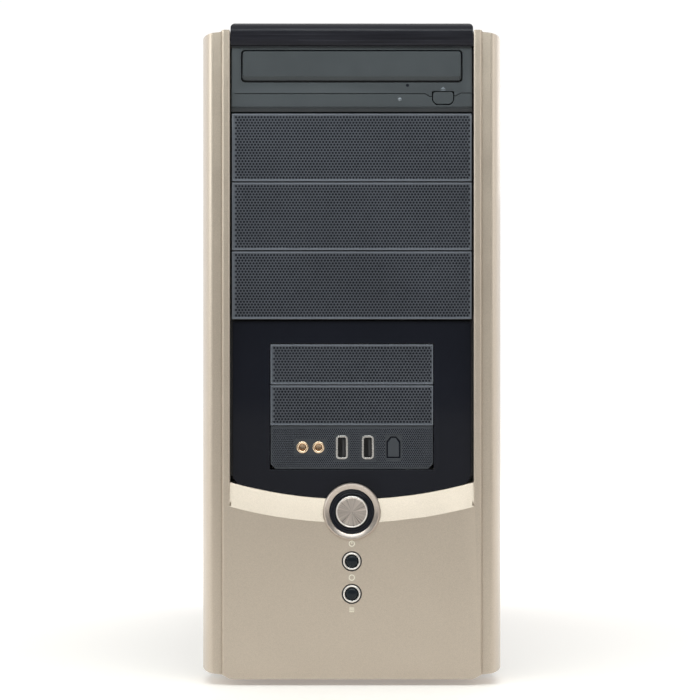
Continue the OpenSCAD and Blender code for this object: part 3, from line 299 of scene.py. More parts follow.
SLEEVE = moulded_plastic("lead_sleeve", (0.02, 0.02, 0.022), 0.6, 500, 0.0002, strength=0.6)
ZINC = zinc_sheet("zinc_sheet")
NICKEL = bare_metal("nickel_plate", (0.74, 0.73, 0.71), 0.22)
JACK_METAL = bare_metal("gilt_jack_metal", (0.86, 0.66, 0.47), 0.2)
CAST = bare_metal("cast_aluminium", (0.62, 0.63, 0.64), 0.42, (40, 40, 40), 0.3)
DARK_SCREW = bare_metal("black_screw", (0.05, 0.05, 0.052), 0.38)
BOARD = moulded_plastic("green_board", (0.018, 0.12, 0.05), 0.35, 700, 0.00006, coat=0.3)

FINISH = {
    "champagne_paint": CHAMPAGNE, "gloss_black": GLOSS_BLACK, "charcoal_plastic": CHARCOAL,
    "drive_plastic": DRIVE_GREY, "inner_black": INNER_BLACK, "champagne_metal": COLLAR_METAL,
    "bright_metal": NICKEL, "jack_metal": JACK_METAL, "smoked_plastic": SMOKED,
    "white_plastic": CREAM, "red_plastic": SWITCH_RED, "circuit_board": BOARD, "zinc_steel": ZINC,
    "cast_metal": CAST, "black_paint": BLACK_STEEL, "dark_screw": DARK_SCREW,
    "lead_sleeve": SLEEVE, "foot_rubber": RUBBER,
}
FINISH_OF_NODE = {node: FAN_BLACK for node in ("fan_frames", "rear_fan_rotor", "psu_fan_rotor",
                                             "cpu_fan_rotor")}
SLOT_OF = {part["node"]: part["material_slot"] for part in frame["record"]["subparts"]}


# ---------------------------------------------------------------- making pieces

def mark_sharp(bm, angle):
    """Smooth shading that stops at edges sharper than the angle."""
    for edge in bm.edges:
        edge.smooth = len(edge.link_faces) == 2 and edge.calc_face_angle(0) < math.radians(angle)
    for face in bm.faces:
        face.smooth = True


def add_bevel(piece, width, segments=2, angle=30):
    """Breaks a piece's edges that are sharper than the angle."""
    bevel = piece.modifiers.new("edge", "BEVEL")
    bevel.width = width
    bevel.segments = segments
    bevel.limit_method = "ANGLE"
    bevel.angle_limit = math.radians(angle)
    bevel.harden_normals = True
    bevel.use_clamp_overlap = True


def piece_from(bm, name, body, material, replaces=(), smooth=32):
    """Turns finished bmesh work into a piece that rides on a body."""
    bmesh.ops.recalc_face_normals(bm, faces=bm.faces)
    mark_sharp(bm, smooth)
    mesh = bpy.data.meshes.new(name)
    bm.to_mesh(mesh)
    bm.free()
    piece = bpy.data.objects.new(name, mesh)
    bpy.context.scene.collection.objects.link(piece)
    mesh.materials.append(material)
    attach(piece, body)
    if replaces:
        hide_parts(*replaces)
    return piece


# Frames with wide openings keep their triangles, since one merged face would close an opening
OPEN_FRAMES = {"bay_frame", "chassis_rear"}


def refined(node, edge=0.4, segments=2, material=None, smooth=32, bevel_angle=30):
    """A node's own shape with merged faces, softly broken edges and its finish."""
    bm = bmesh.new()
    bm.from_mesh(frame["nodes"][node].data)
    bmesh.ops.remove_doubles(bm, verts=bm.verts, dist=0.00001)
    if node not in OPEN_FRAMES:
        bmesh.ops.dissolve_limit(bm, angle_limit=math.radians(0.6), verts=bm.verts,
                                 edges=bm.edges)
    slot = SLOT_OF[node]
    mark_sharp(bm, smooth)
    mesh = bpy.data.meshes.new(node + "_shell")
    bm.to_mesh(mesh)
    bm.free()
    piece = bpy.data.objects.new(node + "_shell", mesh)
    bpy.context.scene.collection.objects.link(piece)
    mesh.materials.append(material or FINISH_OF_NODE.get(node) or FINISH[slot])
    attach(piece, BODY_OF[node])
    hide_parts(node)
    if edge:
        add_bevel(piece, edge * MM, segments, bevel_angle)
    return piece


def carried_over(node):
    """A node that keeps its own mesh and takes its finish."""
    mesh = frame["nodes"][node].data
    mesh.materials.clear()
    mesh.materials.append(FINISH[SLOT_OF[node]])


def slab(bm, low, high, bevel=0.0):
    """A box between two corners with rounded edges."""
    low, high = Vector(low), Vector(high)
    made = bmesh.ops.create_cube(bm, size=1.0)["verts"]
    bmesh.ops.scale(bm, vec=high - low, verts=made)
    bmesh.ops.translate(bm, vec=(low + high) / 2, verts=made)
    if bevel:
        edges = {edge for vert in made for edge in vert.link_edges}
        bmesh.ops.bevel(bm, geom=list(edges), offset=bevel, segments=2, profile=0.5,
                        affect="EDGES", material=-1)


def depth(d):
    """Y of a plane d millimetres behind the front."""
    return FACE_Y + d * MM


def turned(bm, profile, x, z, steps, closed=False):
    """A profile of radius and depth in millimetres, spun round an axis along Y at x and z."""
    verts = [bm.verts.new((x + r * MM, depth(d), z)) for r, d in profile]
    edges = [bm.edges.new(pair) for pair in zip(verts, verts[1:])]
    if closed:
        edges.append(bm.edges.new((verts[-1], verts[0])))
    bmesh.ops.spin(bm, geom=verts + edges, cent=(x, 0, z), axis=(0, 1, 0), dvec=(0, 0, 0),
                   angle=2 * math.pi, steps=steps, use_merge=True)
    bmesh.ops.remove_doubles(bm, verts=bm.verts, dist=1e-6)


def plate(bm, outlines, d0, d1):
    """Outlines in X and Z millimetres that share their seams, drawn back from d0 to d1."""
    faces = []
    for outline in outlines:
        verts = [bm.verts.new((x * MM, depth(d0), z * MM)) for x, z in outline]
        faces.append(bm.faces.new(verts))
    bmesh.ops.remove_doubles(bm, verts=[v for f in faces for v in f.verts], dist=1e-6)
    drawn = bmesh.ops.extrude_face_region(bm, geom=faces)["geom"]
    bmesh.ops.translate(bm, vec=(0, (d1 - d0) * MM, 0),
                        verts=[v for v in drawn if isinstance(v, bmesh.types.BMVert)])


def bar(bm, profile, x0, x1):
    """A section of depth and Z in millimetres, drawn along X."""
    face = bm.faces.new([bm.verts.new((x0 * MM, depth(d), z * MM)) for d, z in profile])
    drawn = bmesh.ops.extrude_face_region(bm, geom=[face])["geom"]
    bmesh.ops.translate(bm, vec=((x1 - x0) * MM, 0, 0),
                        verts=[v for v in drawn if isinstance(v, bmesh.types.BMVert)])


def block(bm, x0, x1, d0, d1, z0, z1, bevel=0.0):
    """A box in millimetres, d behind the front."""
    slab(bm, (x0 * MM, depth(d0), z0 * MM), (x1 * MM, depth(d1), z1 * MM), bevel * MM)


def hollow_plate(bm, outer, inner, d0, d1):
    """A flat ring between two outlines, drawn back from d0 to d1."""
    edges = []
    for outline in (outer, inner):
        verts = [bm.verts.new((x * MM, depth(d0), z * MM)) for x, z in outline]
        edges += [bm.edges.new((verts[k - 1], verts[k])) for k in range(len(verts))]
    ring = bmesh.ops.bridge_loops(bm, edges=edges)["faces"]
    drawn = bmesh.ops.extrude_face_region(bm, geom=ring)["geom"]
    bmesh.ops.translate(bm, vec=(0, (d1 - d0) * MM, 0),
                        verts=[v for v in drawn if isinstance(v, bmesh.types.BMVert)])


def rounded_rect(x0, x1, z0, z1, r, steps=6):
    """Corner points of a rectangle with round corners."""
    points = []
    for cx, cz, start in ((x1 - r, z1 - r, 0), (x0 + r, z1 - r, 90),
                          (x0 + r, z0 + r, 180), (x1 - r, z0 + r, 270)):
        for k in range(steps + 1):
            a = math.radians(start + 90 * k / steps)
            points.append((cx + r * math.cos(a), cz + r * math.sin(a)))
    return points


# ---------------------------------------------------------------- bay covers

# Pits of the covers, then the finer pits of the port panel; the web is a share of the pitch
CELL_PITCH = 1.95 * MM
CELL_DEPTH = 0.35 * MM
WEB_SHARE = 0.18
FINE_PITCH = 1.25 * MM
FINE_DEPTH = 0.2 * MM
SIDE_LIP = 0.9 * MM


def dimple_field(bm, x0, x1, z0, z1, y, pitch=CELL_PITCH, sink=CELL_DEPTH):
    """Rows of six-sided pits, each row shifted by half a pit, between two corners."""
    before = set(bm.verts)
    row_pitch = pitch * math.sqrt(3) / 2
    columns = int((x1 - x0) / pitch)
    rows = int((z1 - z0) / row_pitch)
    left = (x0 + x1) / 2 - (columns - 1.5) * pitch / 2 - pitch / 4
    bottom = (z0 + z1) / 2 - (rows - 1) * row_pitch / 2
    place = (Matrix.Translation((left, y, bottom)) @ Matrix.Rotation(math.pi / 2, 4, "X")
             @ Matrix.Rotation(math.pi / 6, 4, "Z"))
    bmesh.ops.create_circle(bm, cap_ends=True, segments=6, radius=pitch / math.sqrt(3),
                            matrix=place)
    floor = [f for f in bm.faces if not before.intersection(f.verts)]
    bmesh.ops.inset_region(bm, faces=floor, thickness=pitch * WEB_SHARE, use_boundary=True)
    poked = bmesh.ops.poke(bm, faces=floor)
    bmesh.ops.translate(bm, vec=(0, sink, 0), verts=poked["verts"])
    # the pit floors take the second material, which is painted shade
    for face in poked["faces"]:
        face.material_index = 1
    verts = set(bm.verts) - before
    cell = list(verts) + [e for e in bm.edges if e.verts[0] in verts]
    cell += [f for f in bm.faces if f.verts[0] in verts]
    row = list(cell)
    for k in range(1, columns):
        copy = bmesh.ops.duplicate(bm, geom=cell)["geom"]
        bmesh.ops.translate(bm, vec=(k * pitch, 0, 0),
                            verts=[g for g in copy if isinstance(g, bmesh.types.BMVert)])
        row += copy
    for k in range(1, rows):
        copy = bmesh.ops.duplicate(bm, geom=row)["geom"]
        shift = pitch / 2 * (k % 2)
        bmesh.ops.translate(bm, vec=(shift, 0, k * row_pitch),
                            verts=[g for g in copy if isinstance(g, bmesh.types.BMVert)])
    bmesh.ops.remove_doubles(bm, verts=[v for v in bm.verts if v not in before], dist=1e-6)


def dimpled_cover(node, lip=1.2):
    """A bay cover: its own moulding, with the dimpled field between its lips, whose pit floors are
    painted shade.
    """
    refined(node, 0.45, 3, WEB_GREY)
    low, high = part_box(node)
    face = low[1]
    bm = bmesh.new()
    dimple_field(bm, low[0] + 0.6 * MM, high[0] - 0.6 * MM, low[2] + lip * MM, high[2] - lip * MM,
                 face + 0.2 * MM)
    for x0, x1 in ((low[0], low[0] + SIDE_LIP), (high[0] - SIDE_LIP, high[0])):
        slab(bm, (x0, face + 0.05 * MM, low[2] + 0.4 * MM),
             (x1, face + 1.5 * MM, high[2] - 0.4 * MM), 0.15 * MM)
    field = piece_from(bm, node + "_dimples", "case", WEB_GREY)
    field.data.materials.append(PAINTED_SHADE)


# ---------------------------------------------------------------- round controls

def power_controls():
    """Dished collar, rounded black light ring and the spun power button with its rim."""
    z = centre("power_button").z
    bm = bmesh.new()
    turned(bm, [(17.0, 8), (17.0, 0.0), (17.6, -0.05), (17.5, -0.4), (16.95, -1.05), (16.5, -1.38),
                (16.2, -1.3), (14.15, -0.5), (13.9, -0.3), (13.85, 8)], 0, z, 96, True)
    piece_from(bm, "dished_collar", "case", COLLAR_METAL, ["button_collar"], 40)
    bm = bmesh.new()
    turned(bm, [(13.7, 8), (13.7, 0.0), (13.5, -0.3), (13.1, -0.45), (12.5, -0.3), (12.1, 0.1),
                (11.7, 0.1), (11.3, -0.25), (10.8, -0.4), (10.3, -0.2), (10.15, 0.4), (10.15, 8)],
           0, z, 96, True)
    piece_from(bm, "round_light_ring", "case", GLOSS_BLACK, ["power_light_ring"],
               40)
    bm = bmesh.new()
    ripples = [(0.2 * k, -2.15 + 0.05 * math.cos(math.pi * k / 2)) for k in range(43)]
    turned(bm, ripples + [(8.8, -1.9), (9.7, -1.9), (9.7, 3), (3, 3), (3, 20), (0, 20)],
           0, z, 96)
    piece_from(bm, "spun_power_button", "power_button", SPUN_HIGHLIGHTED, ["power_button"], 40)
    bm = bmesh.new()
    turned(bm, [(9.8, 2.9), (9.8, -1.7), (9.7, -2.1), (9.45, -2.4), (9.15, -2.45), (8.85, -2.25),
                (8.75, -1.95)], 0, z, 96, True)
    piece_from(bm, "power_button_rim", "power_button", RIM_METAL, (), 50)


SMALL_CONTROLS = ("reset_button", "activity_light")


def small_controls():
    """Two smoked domes in bright rings: the reset button and the activity light."""
    bm = bmesh.new()
    for node in SMALL_CONTROLS:
        turned(bm, [(5.4, 4.8), (5.4, 0.2), (5.25, -0.1), (4.9, -0.36), (4.5, -0.36), (4.2, -0.1),
                    (4.12, 0.3), (4.12, 4.8)], 0, centre(node).z, 64, True)
    piece_from(bm, "bright_rings", "case", RIM_METAL, ["control_rings"], 50)
    bm = bmesh.new()
    for node in SMALL_CONTROLS:
        turned(bm, [(6.15, 0.55), (5.45, 0.5), (5.45, 0.78), (6.15, 0.78)], 0, centre(node).z, 48,
               True)
    piece_from(bm, "ring_seats", "case", INNER_BLACK, (), 50)
    for node in SMALL_CONTROLS:
        bm = bmesh.new()
        end = (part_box(node)[1][1] - FACE_Y) / MM
        turned(bm, [(0, -1.15), (1.0, -1.08), (2.0, -0.88), (2.9, -0.5), (3.5, -0.05), (3.78, 0.5),
                    (3.85, 1.2), (3.85, 3.9), (1.6, 3.9), (1.6, end), (0, end)],
               0, centre(node).z, 48)
        piece_from(bm, node + "_dome", BODY_OF[node], SMOKED, [node], 50)


def control_marks():
    """Small raised marks under the controls: a ring with a bar, a ring and three bars."""
    bm = bmesh.new()
    mark_z = centre("power_button").z - 19.7 * MM
    turned(bm, [(1.9, 0.1), (1.9, -0.08), (1.3, -0.08), (1.3, 0.1)], 0, mark_z, 24, True)
    slab(bm, (-0.35 * MM, depth(-0.1), mark_z), (0.35 * MM, depth(0.1), mark_z + 2.7 * MM), 0.05 * MM)
    reset, light = (centre(node).z for node in SMALL_CONTROLS)
    mark_z = (reset + light) / 2
    turned(bm, [(1.9, 0.1), (1.9, -0.08), (1.35, -0.08), (1.35, 0.1)], 0, mark_z, 24, True)
    mark_z = light - 9.8 * MM
    for k in (-1, 0, 1):
        slab(bm, (-1.5 * MM, depth(-0.08), mark_z + (k * 1.1 - 0.3) * MM),
             (1.5 * MM, depth(0.1), mark_z + (k * 1.1 + 0.3) * MM), 0.05 * MM)
    piece_from(bm, "control_marks", "case", MARK_GOLD)


# ---------------------------------------------------------------- optical drive

# Depths behind the front and steps of the drive's face, in millimetres
UPPER_FACE_D = 4.45
LOWER_FACE_D = 4.05
FACE_BACK_D = 5.2
DRIVE_BACK_D = 9.2
SLOPE_H = 3.6
LINE_ABOVE_BUTTON = 2.9


def soft_trapezoid(cx, cz, grow=0.0):
    """The eject button's outline: square-shouldered above, round below."""
    half, top = 6.2 + grow, 3.7 + grow
    right = [(half - 1.5, top), (half - 0.4, top - 0.4), (half, top - 1.4), (half, -0.9),
             (half - 0.4, -2.0), (half - 1.2, -3.0), (half - 2.4, -3.6 - grow)]
    left = [(-x, z) for x, z in reversed(right)]
    return [(cx + x, cz + z) for x, z in right + left]


def drive_face():
    """Drive bezel in two levels, split by a stepped line, round the tray and the eject button."""
    low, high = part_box("drive_bezel")
    half, bottom, top = high[0] / MM, low[2] / MM, high[2] / MM
    tray_low, tray_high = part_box("tray_front")
    tx, tz0, tz1 = tray_high[0] / MM + 0.7, tray_low[2] / MM - 0.45, tray_high[2] / MM + 0.6
    button = centre("eject_button")
    bx, bz = button.x / MM, button.z / MM
    mouth = rounded_rect(-tx, tx, tz0, tz1, 2.4, 5)
    right_mouth = mouth[:6] + mouth[18:]
    left_mouth = mouth[6:18]
    line = bz + LINE_ABOVE_BUTTON
    bm = bmesh.new()
    left_half = [(0, top), (-half, top), (-half, line), (0, line), (0, tz0)]
    left_half += list(reversed(left_mouth)) + [(0, tz1)]
    right_half = [(0, line), (bx - 11, line), (bx - 8, line - 1.9), (bx - 6.8, line - 1.9),
                  (bx - 6.7, bz + 4.2), (bx + 6.7, bz + 4.2), (bx + 6.8, line - 1.3),
                  (bx + 7.8, line - 1.3), (bx + 11, line + 0.4), (half, line + 0.4), (half, top),
                  (0, top), (0, tz1)]
    right_half += list(reversed(right_mouth[:6])) + list(reversed(right_mouth[6:])) + [(0, tz0)]
    plate(bm, [left_half, right_half], UPPER_FACE_D, FACE_BACK_D)
    upper = piece_from(bm, "drive_upper_face", "case", DRIVE_GREY, (), 28)
    add_bevel(upper, 0.5 * MM, 3)
    bm = bmesh.new()
    under = [(x, z) for x, z in soft_trapezoid(bx, bz, 0.6) if z < bz]
    plate(bm, [[(-half, line - 0.4), (bx - 11.1, line - 0.4), (bx - 8.2, line - 2.3),
                (bx - 6.7, line - 2.3)] + sorted(under)
               + [(bx + 6.7, line - 1.7), (bx + 8, line - 1.7), (bx + 11.2, line),
                  (half, line), (half, bottom + SLOPE_H), (-half, bottom + SLOPE_H)]],
          LOWER_FACE_D, FACE_BACK_D)
    bar(bm, [(LOWER_FACE_D, bottom + SLOPE_H), (DRIVE_BACK_D, bottom + SLOPE_H),
             (DRIVE_BACK_D, bottom), (8.0, bottom)], -half, half)
    block(bm, -half, -half + 2, 4.2, FACE_BACK_D, line - 0.5, line + 0.2)
    lower = piece_from(bm, "drive_lower_face", "case", DRIVE_GREY, (), 28)
    add_bevel(lower, 0.25 * MM, 2)
    # painted shade: the near-black backing shows only in the gaps round the tray and the eject button
    bm = bmesh.new()
    for x0, x1, z0, z1 in ((-half, -tx, bottom + 0.5, top), (tx, half, bottom + 0.5, top),
                           (-tx, tx, tz1, top), (-tx, bx - 6.8, bottom + 0.5, tz0),
                           (bx + 6.8, tx, bottom + 0.5, tz0),
                           (bx - 6.8, bx + 6.8, bottom + 0.5, bz - 4.3),
                           (bx - 6.8, bx + 6.8, bz + 4.3, tz0)):
        block(bm, x0, x1, FACE_BACK_D - 0.05, DRIVE_BACK_D, z0, z1)
    piece_from(bm, "drive_face_shade_backing", "case", DRIVE_GAP_SHADE, ["drive_bezel"])


def drive_small_parts():
    """Release hole as a near-black disc of painted shade, drive lamp and the small raised mark over
    the eject button.
    """
    button = centre("eject_button")
    bx, bz = button.x / MM, button.z / MM
    bm = bmesh.new()
    turned(bm, [(0, 4.35), (0.85, 4.35), (0.95, 4.42), (0.95, 4.8), (0, 4.8)],
           34.3 * MM, (bz + 7.9) * MM, 16)
    # painted shade: a near-black disc stands in for the dark of the hole
    piece_from(bm, "release_hole_shade", "case", PAINTED_SHADE)
    bm = bmesh.new()
    turned(bm, [(0, 3.55), (0.6, 3.6), (1.0, 3.8), (1.2, 4.1), (1.2, 4.6), (0, 4.6)],
           29.5 * MM, (bz - 0.7) * MM, 24)
    piece_from(bm, "drive_lamp", "case", LAMP_GREY, (), 50)
    bm = bmesh.new()
    plate(bm, [[(bx - 1.5, bz + 5.6), (bx + 1.5, bz + 5.6), (bx, bz + 7.0)]], 4.38, 4.6)
    block(bm, bx - 1.5, bx + 1.5, 4.38, 4.6, bz + 4.75, bz + 5.15)
    piece_from(bm, "eject_mark", "case", LAMP_GREY)


def tray_face():
    """Round-cornered tray front with a sloped lower edge, over a near-black sill of painted shade in
    the gap under it.
    """
    low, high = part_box("tray_front")
    x1, z0, z1 = high[0] / MM, low[2] / MM, high[2] / MM
    bm = bmesh.new()
    plate(bm, [rounded_rect(-x1, x1, z0 + 0.8, z1, 2.0, 5)], 4.3, DRIVE_BACK_D)
    front = [f for f in bm.faces if f.calc_center_median().y < depth(4.31)]
    bmesh.ops.inset_region(bm, faces=front, thickness=0.55 * MM, depth=0)
    front = [f for f in front if f.is_valid]
    inner = {v for f in front for v in f.verts}
    bmesh.ops.translate(bm, vec=(0, -1.05 * MM, 0), verts=list(inner))
    outer = {v for v in bm.verts if v.co.y < depth(4.4) and v not in inner}
    lower = [v for v in outer if v.co.z < (z0 + 2) * MM]
    bmesh.ops.translate(bm, vec=(0, 0.9 * MM, 0), verts=lower)
    lower = [v for v in inner if v.co.z < (z0 + 3) * MM]
    bmesh.ops.translate(bm, vec=(0, 0, 1.9 * MM), verts=lower)
    front = piece_from(bm, "round_tray_front", "disc_tray", DRIVE_GREY,
                       ["tray_front"], 28)
    add_bevel(front, 0.3 * MM, 3)
    bm = bmesh.new()
    block(bm, -x1 + 0.4, x1 - 0.4, 6.6, DRIVE_BACK_D, z0 + 0.02, z0 + 0.9)
    # painted shade: the dark sill shows as the shaded gap under the tray
    piece_from(bm, "tray_front_shade_sill", "disc_tray", DRIVE_GAP_SHADE)


def eject_button():
    """Eject button cap on a slim square stem, clear of the bay frame when pressed."""
    middle = centre("eject_button")
    x, z = middle.x / MM, middle.z / MM
    stem = 1.1
    bm = bmesh.new()
    plate(bm, [soft_trapezoid(x, z)], 3.45, 8.4)
    block(bm, x - stem, x + stem, 8.2, 16.4, z - stem, z + stem, 0.3)
    button = piece_from(bm, "round_eject_button", "eject_button", DRIVE_GREY,
                        ["eject_button"], 28)
    add_bevel(button, 0.55 * MM, 3)


# ---------------------------------------------------------------- front ports

def blank_outline(w, h, crown):
    """Outline of the unused port: square below, with cut corners above."""
    right = [(BLANK_X + w, PORTS_Z - h), (BLANK_X + w, PORTS_Z + h - 3),
             (BLANK_X + crown, PORTS_Z + h)]
    left = [(BLANK_X - crown, PORTS_Z + h), (BLANK_X - w, PORTS_Z + h - 3)]
    return [(BLANK_X - w, PORTS_Z - h)] + right + left


def port_panel():
    """Port panel with a fine pitted skin that stops short of the sockets and of the blank."""
    refined("io_panel", 0.3)
    low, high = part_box("io_panel")
    face = low[1]
    bm = bmesh.new()
    dimple_field(bm, low[0] + 0.7 * MM, high[0] - 0.7 * MM, low[2] + 0.8 * MM, high[2] - 1.0 * MM,
                 face - 0.25 * MM, FINE_PITCH, FINE_DEPTH)
    clear = [(x, 5.0, PORTS_Z, 5.0) for x in JACK_X]
    clear += [(x, 4.9, PORTS_Z, 8.7) for x in USB_X] + [(BLANK_X, 5.4, PORTS_Z, 7.8)]
    gone = []
    for f in bm.faces:
        c = f.calc_center_median() / MM
        corner = min(c.x - low[0] / MM, high[0] / MM - c.x) + c.z - low[2] / MM
        if corner < 4 or any(abs(c.x - x) < w and abs(c.z - z) < h for x, w, z, h in clear):
            gone.append(f)
    bmesh.ops.delete(bm, geom=gone, context="FACES")
    field = piece_from(bm, "port_panel_pits", "case", WEB_GREY)
    # the pit floors take the painted shade
    field.data.materials.append(PAINTED_SHADE)


def port_blank():
    """Moulded blank of the unused port with its small lip, over a near-black plate of painted shade
    that shows as the gap round it.
    """
    bm = bmesh.new()
    plate(bm, [blank_outline(4.25, 6.65, 1.7)], 7.3, 7.48)
    # painted shade: the dark plate behind the blank's edge stands in for the shade in its gap
    piece_from(bm, "port_blank_gap_shade", "case", PAINTED_SHADE)
    bm = bmesh.new()
    plate(bm, [blank_outline(3.4, 5.8, 1.4)], 6.9, 7.6)
    block(bm, BLANK_X - 4.4, BLANK_X + 4.4, 6.35, 6.9, PORTS_Z - 8.6, PORTS_Z - 7.6, 0.2)
    blank = piece_from(bm, "port_blank", "case", CHARCOAL)
    add_bevel(blank, 0.3 * MM, 2)


def audio_rings():
    """Gilt audio socket rings with a funnel mouth and a dark bore."""
    bm = bmesh.new()
    for x in JACK_X:
        turned(bm, [(0, 18), (1.82, 18), (1.85, 7.4), (2.1, 6.7), (2.5, 6.15), (3.0, 6.0),
                    (3.5, 6.1), (JACK_RING_R, 6.4), (JACK_RING_R, 6.7), (3.0, 6.8), (3.0, 19.5),
                    (0, 19.5)],
               x * MM, PORTS_Z * MM, 48)
    piece_from(bm, "gilt_jack_rings", "case", JACK_METAL, ["audio_jacks"], 50)


def usb_ports():
    """Plated USB shells with a flared mouth, each with its dark tongue."""
    bm = bmesh.new()
    dark = bmesh.new()
    for x in USB_X:
        flare = rounded_rect(x - 3.7, x + 3.7, PORTS_Z - 7.3, PORTS_Z + 7.3, 2.2, 3)
        mouth = rounded_rect(x - 2.45, x + 2.45, PORTS_Z - 6.1, PORTS_Z + 6.1, 0.9, 3)
        shell = rounded_rect(x - 2.95, x + 2.95, PORTS_Z - 6.6, PORTS_Z + 6.6, 0.9, 3)
        hollow_plate(bm, flare, mouth, 6.05, 6.7)
        hollow_plate(bm, shell, mouth, 6.75, 19.5)
        block(dark, x + 0.3, x + 1.9, 7.4, 17, PORTS_Z - 5.4, PORTS_Z + 5.4, 0.2)
        block(dark, x - 2.45, x + 2.45, 12.5, 19, PORTS_Z - 6.1, PORTS_Z + 6.1)
    shells = piece_from(bm, "usb_shells", "case", NICKEL, ["usb_sockets"], 40)
    add_bevel(shells, 0.2 * MM, 2)
    piece_from(dark, "usb_tongues", "case", INNER_BLACK)


# ---------------------------------------------------------------- rear details

GUARD_RINGS = (7.2, 16.2, 25.2, 34.2)
WIRE_R = 0.75
SPOKE_R = 0.7
SCREW_REACH = 35.75


def wire_guard():
    """Fan guard of round plated wire: four rings, four spokes and an eye at each screw."""
    mid = centre("psu_fan_guard")
    wire_d = (mid.y - FACE_Y) / MM
    bm = bmesh.new()
    around = [(math.cos(math.pi * k / 4), math.sin(math.pi * k / 4)) for k in range(8)]
    for r in GUARD_RINGS:
        turned(bm, [(r + WIRE_R * c, wire_d + 0.02 + WIRE_R * s) for c, s in around],
               mid.x, mid.z, 56, True)
    for sx in (-1, 1):
        for sz in (-1, 1):
            spoke = bmesh.ops.create_cone(bm, cap_ends=True, segments=10, radius1=SPOKE_R * MM,
                                          radius2=SPOKE_R * MM, depth=42 * MM)["verts"]
            turn = Vector((sx, 0, sz)).to_track_quat("Z", "Y").to_matrix()
            bmesh.ops.rotate(bm, matrix=turn, verts=spoke)
            reach = 28 * MM / math.sqrt(2)
            bmesh.ops.translate(bm, vec=mid + Vector((sx * reach, 0, sz * reach)), verts=spoke)
            turned(bm, [(3.0 + WIRE_R * c, wire_d + WIRE_R * s) for c, s in around],
                   mid.x + sx * SCREW_REACH * MM, mid.z + sz * SCREW_REACH * MM, 24, True)
    piece_from(bm, "wire_fan_guard", "case", NICKEL, ["psu_fan_guard"], 60)


HEAD_R = 4.8
NOTCH_R = 4.45
SHANK_L = 11
HEAD_POINTS = 72


def knurled_screws(node):
    """Thumbscrews with a knurled head and a sunk recess."""
    low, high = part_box(node)
    x = (low[0] + high[0]) / 2
    head_y = low[1] / MM + SHANK_L
    bm = bmesh.new()
    for z in (low[2] + HEAD_R * MM, high[2] - HEAD_R * MM):
        points = []
        for k in range(HEAD_POINTS):
            a = 2 * math.pi * k / HEAD_POINTS
            r = HEAD_R if k % 3 else NOTCH_R
            points.append((x / MM + r * math.cos(a), z / MM + r * math.sin(a)))
        d0, d1 = (high[1] - FACE_Y) / MM, (head_y * MM - FACE_Y) / MM
        plate(bm, [points], d0 - 0.35, d1)
        cap = [f for f in bm.faces if f.calc_center_median().y > high[1] - 0.4 * MM
               and abs(f.calc_center_median().z - z) < MM and len(f.verts) > 20]
        bmesh.ops.inset_region(bm, faces=cap, thickness=0.6 * MM)
        bmesh.ops.translate(bm, vec=(0, 0.35 * MM, 0), verts=list({v for f in cap for v in f.verts}))
        bmesh.ops.inset_region(bm, faces=cap, thickness=1.2 * MM)
        bmesh.ops.inset_region(bm, faces=cap, thickness=0.2 * MM)
        bmesh.ops.translate(bm, vec=(0, -1.6 * MM, 0), verts=list({v for f in cap for v in f.verts}))
        turned(bm, [(0, d1 - SHANK_L), (1.2, d1 - SHANK_L), (1.7, d1 - SHANK_L + 1),
                    (1.7, d1 + 0.5), (0, d1 + 0.5)], x, z, 24)
    slot = SLOT_OF[node]
    piece_from(bm, node + "_knurled", BODY_OF[node], FINISH[slot], [node], 24)


# Places of the rear sockets: X from the shield's edge, Z from its base, in millimetres
SHIELD_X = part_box("io_shield")[1][0] - 0.4 * MM
SHIELD_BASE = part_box("io_shield")[0][2] + 1.5 * MM
SOCKETS_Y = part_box("rear_sockets")[1][1]
SLOT_PITCH = 20.32


def socket_tongues():
    """Pale tongues in the six stacked rear sockets and in the tall one."""
    bm = bmesh.new()
    for z in (16, 44, 72):
        for x in (-28, -14):
            slab(bm, (SHIELD_X + (x + 1) * MM, SOCKETS_Y - 9.9 * MM, SHIELD_BASE + (z + 0.8) * MM),
                 (SHIELD_X + (x + 11) * MM, SOCKETS_Y - 1.5 * MM, SHIELD_BASE + (z + 2.8) * MM),
                 0.2 * MM)
    slab(bm, (SHIELD_X - 9 * MM, SOCKETS_Y - 7.9 * MM, SHIELD_BASE + 100 * MM),
         (SHIELD_X - 4 * MM, SOCKETS_Y - 2 * MM, SHIELD_BASE + 120 * MM), 0.4 * MM)
    piece_from(bm, "rear_socket_tongues", "case", CREAM)


def round_inserts():
    """Green and purple inserts of the two round rear sockets."""
    end = (SOCKETS_Y - FACE_Y) / MM
    for x, name, material in ((-25, "round_insert_a", SOCKET_GREEN),
                              (-9, "round_insert_b", SOCKET_PURPLE)):
        bm = bmesh.new()
        turned(bm, [(0, end - 8.9), (4.3, end - 8.9), (4.3, end - 2), (3.9, end - 1.8),
                    (1.6, end - 1.8), (1.5, end - 7), (0, end - 7)],
               SHIELD_X + x * MM, SHIELD_BASE + 142 * MM, 32)
        piece_from(bm, name, "case", material, (), 50)


def inlet_pins():
    """Three flat pins of the mains inlet."""
    low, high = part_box("mains_inlet")
    x = (low[0] + high[0]) / 2
    z = low[2] + 11.8 * MM
    y = high[1] - 2.4 * MM
    bm = bmesh.new()
    for dx, dz in ((0, 2), (-7, -2), (7, -2)):
        slab(bm, (x + (dx - 1.06) * MM, y - 14.5 * MM, z + (dz - 2.06) * MM),
             (x + (dx + 1.06) * MM, y - 2.94 * MM, z + (dz + 2.06) * MM), 0.3 * MM)
    piece_from(bm, "inlet_pins", "case", NICKEL)


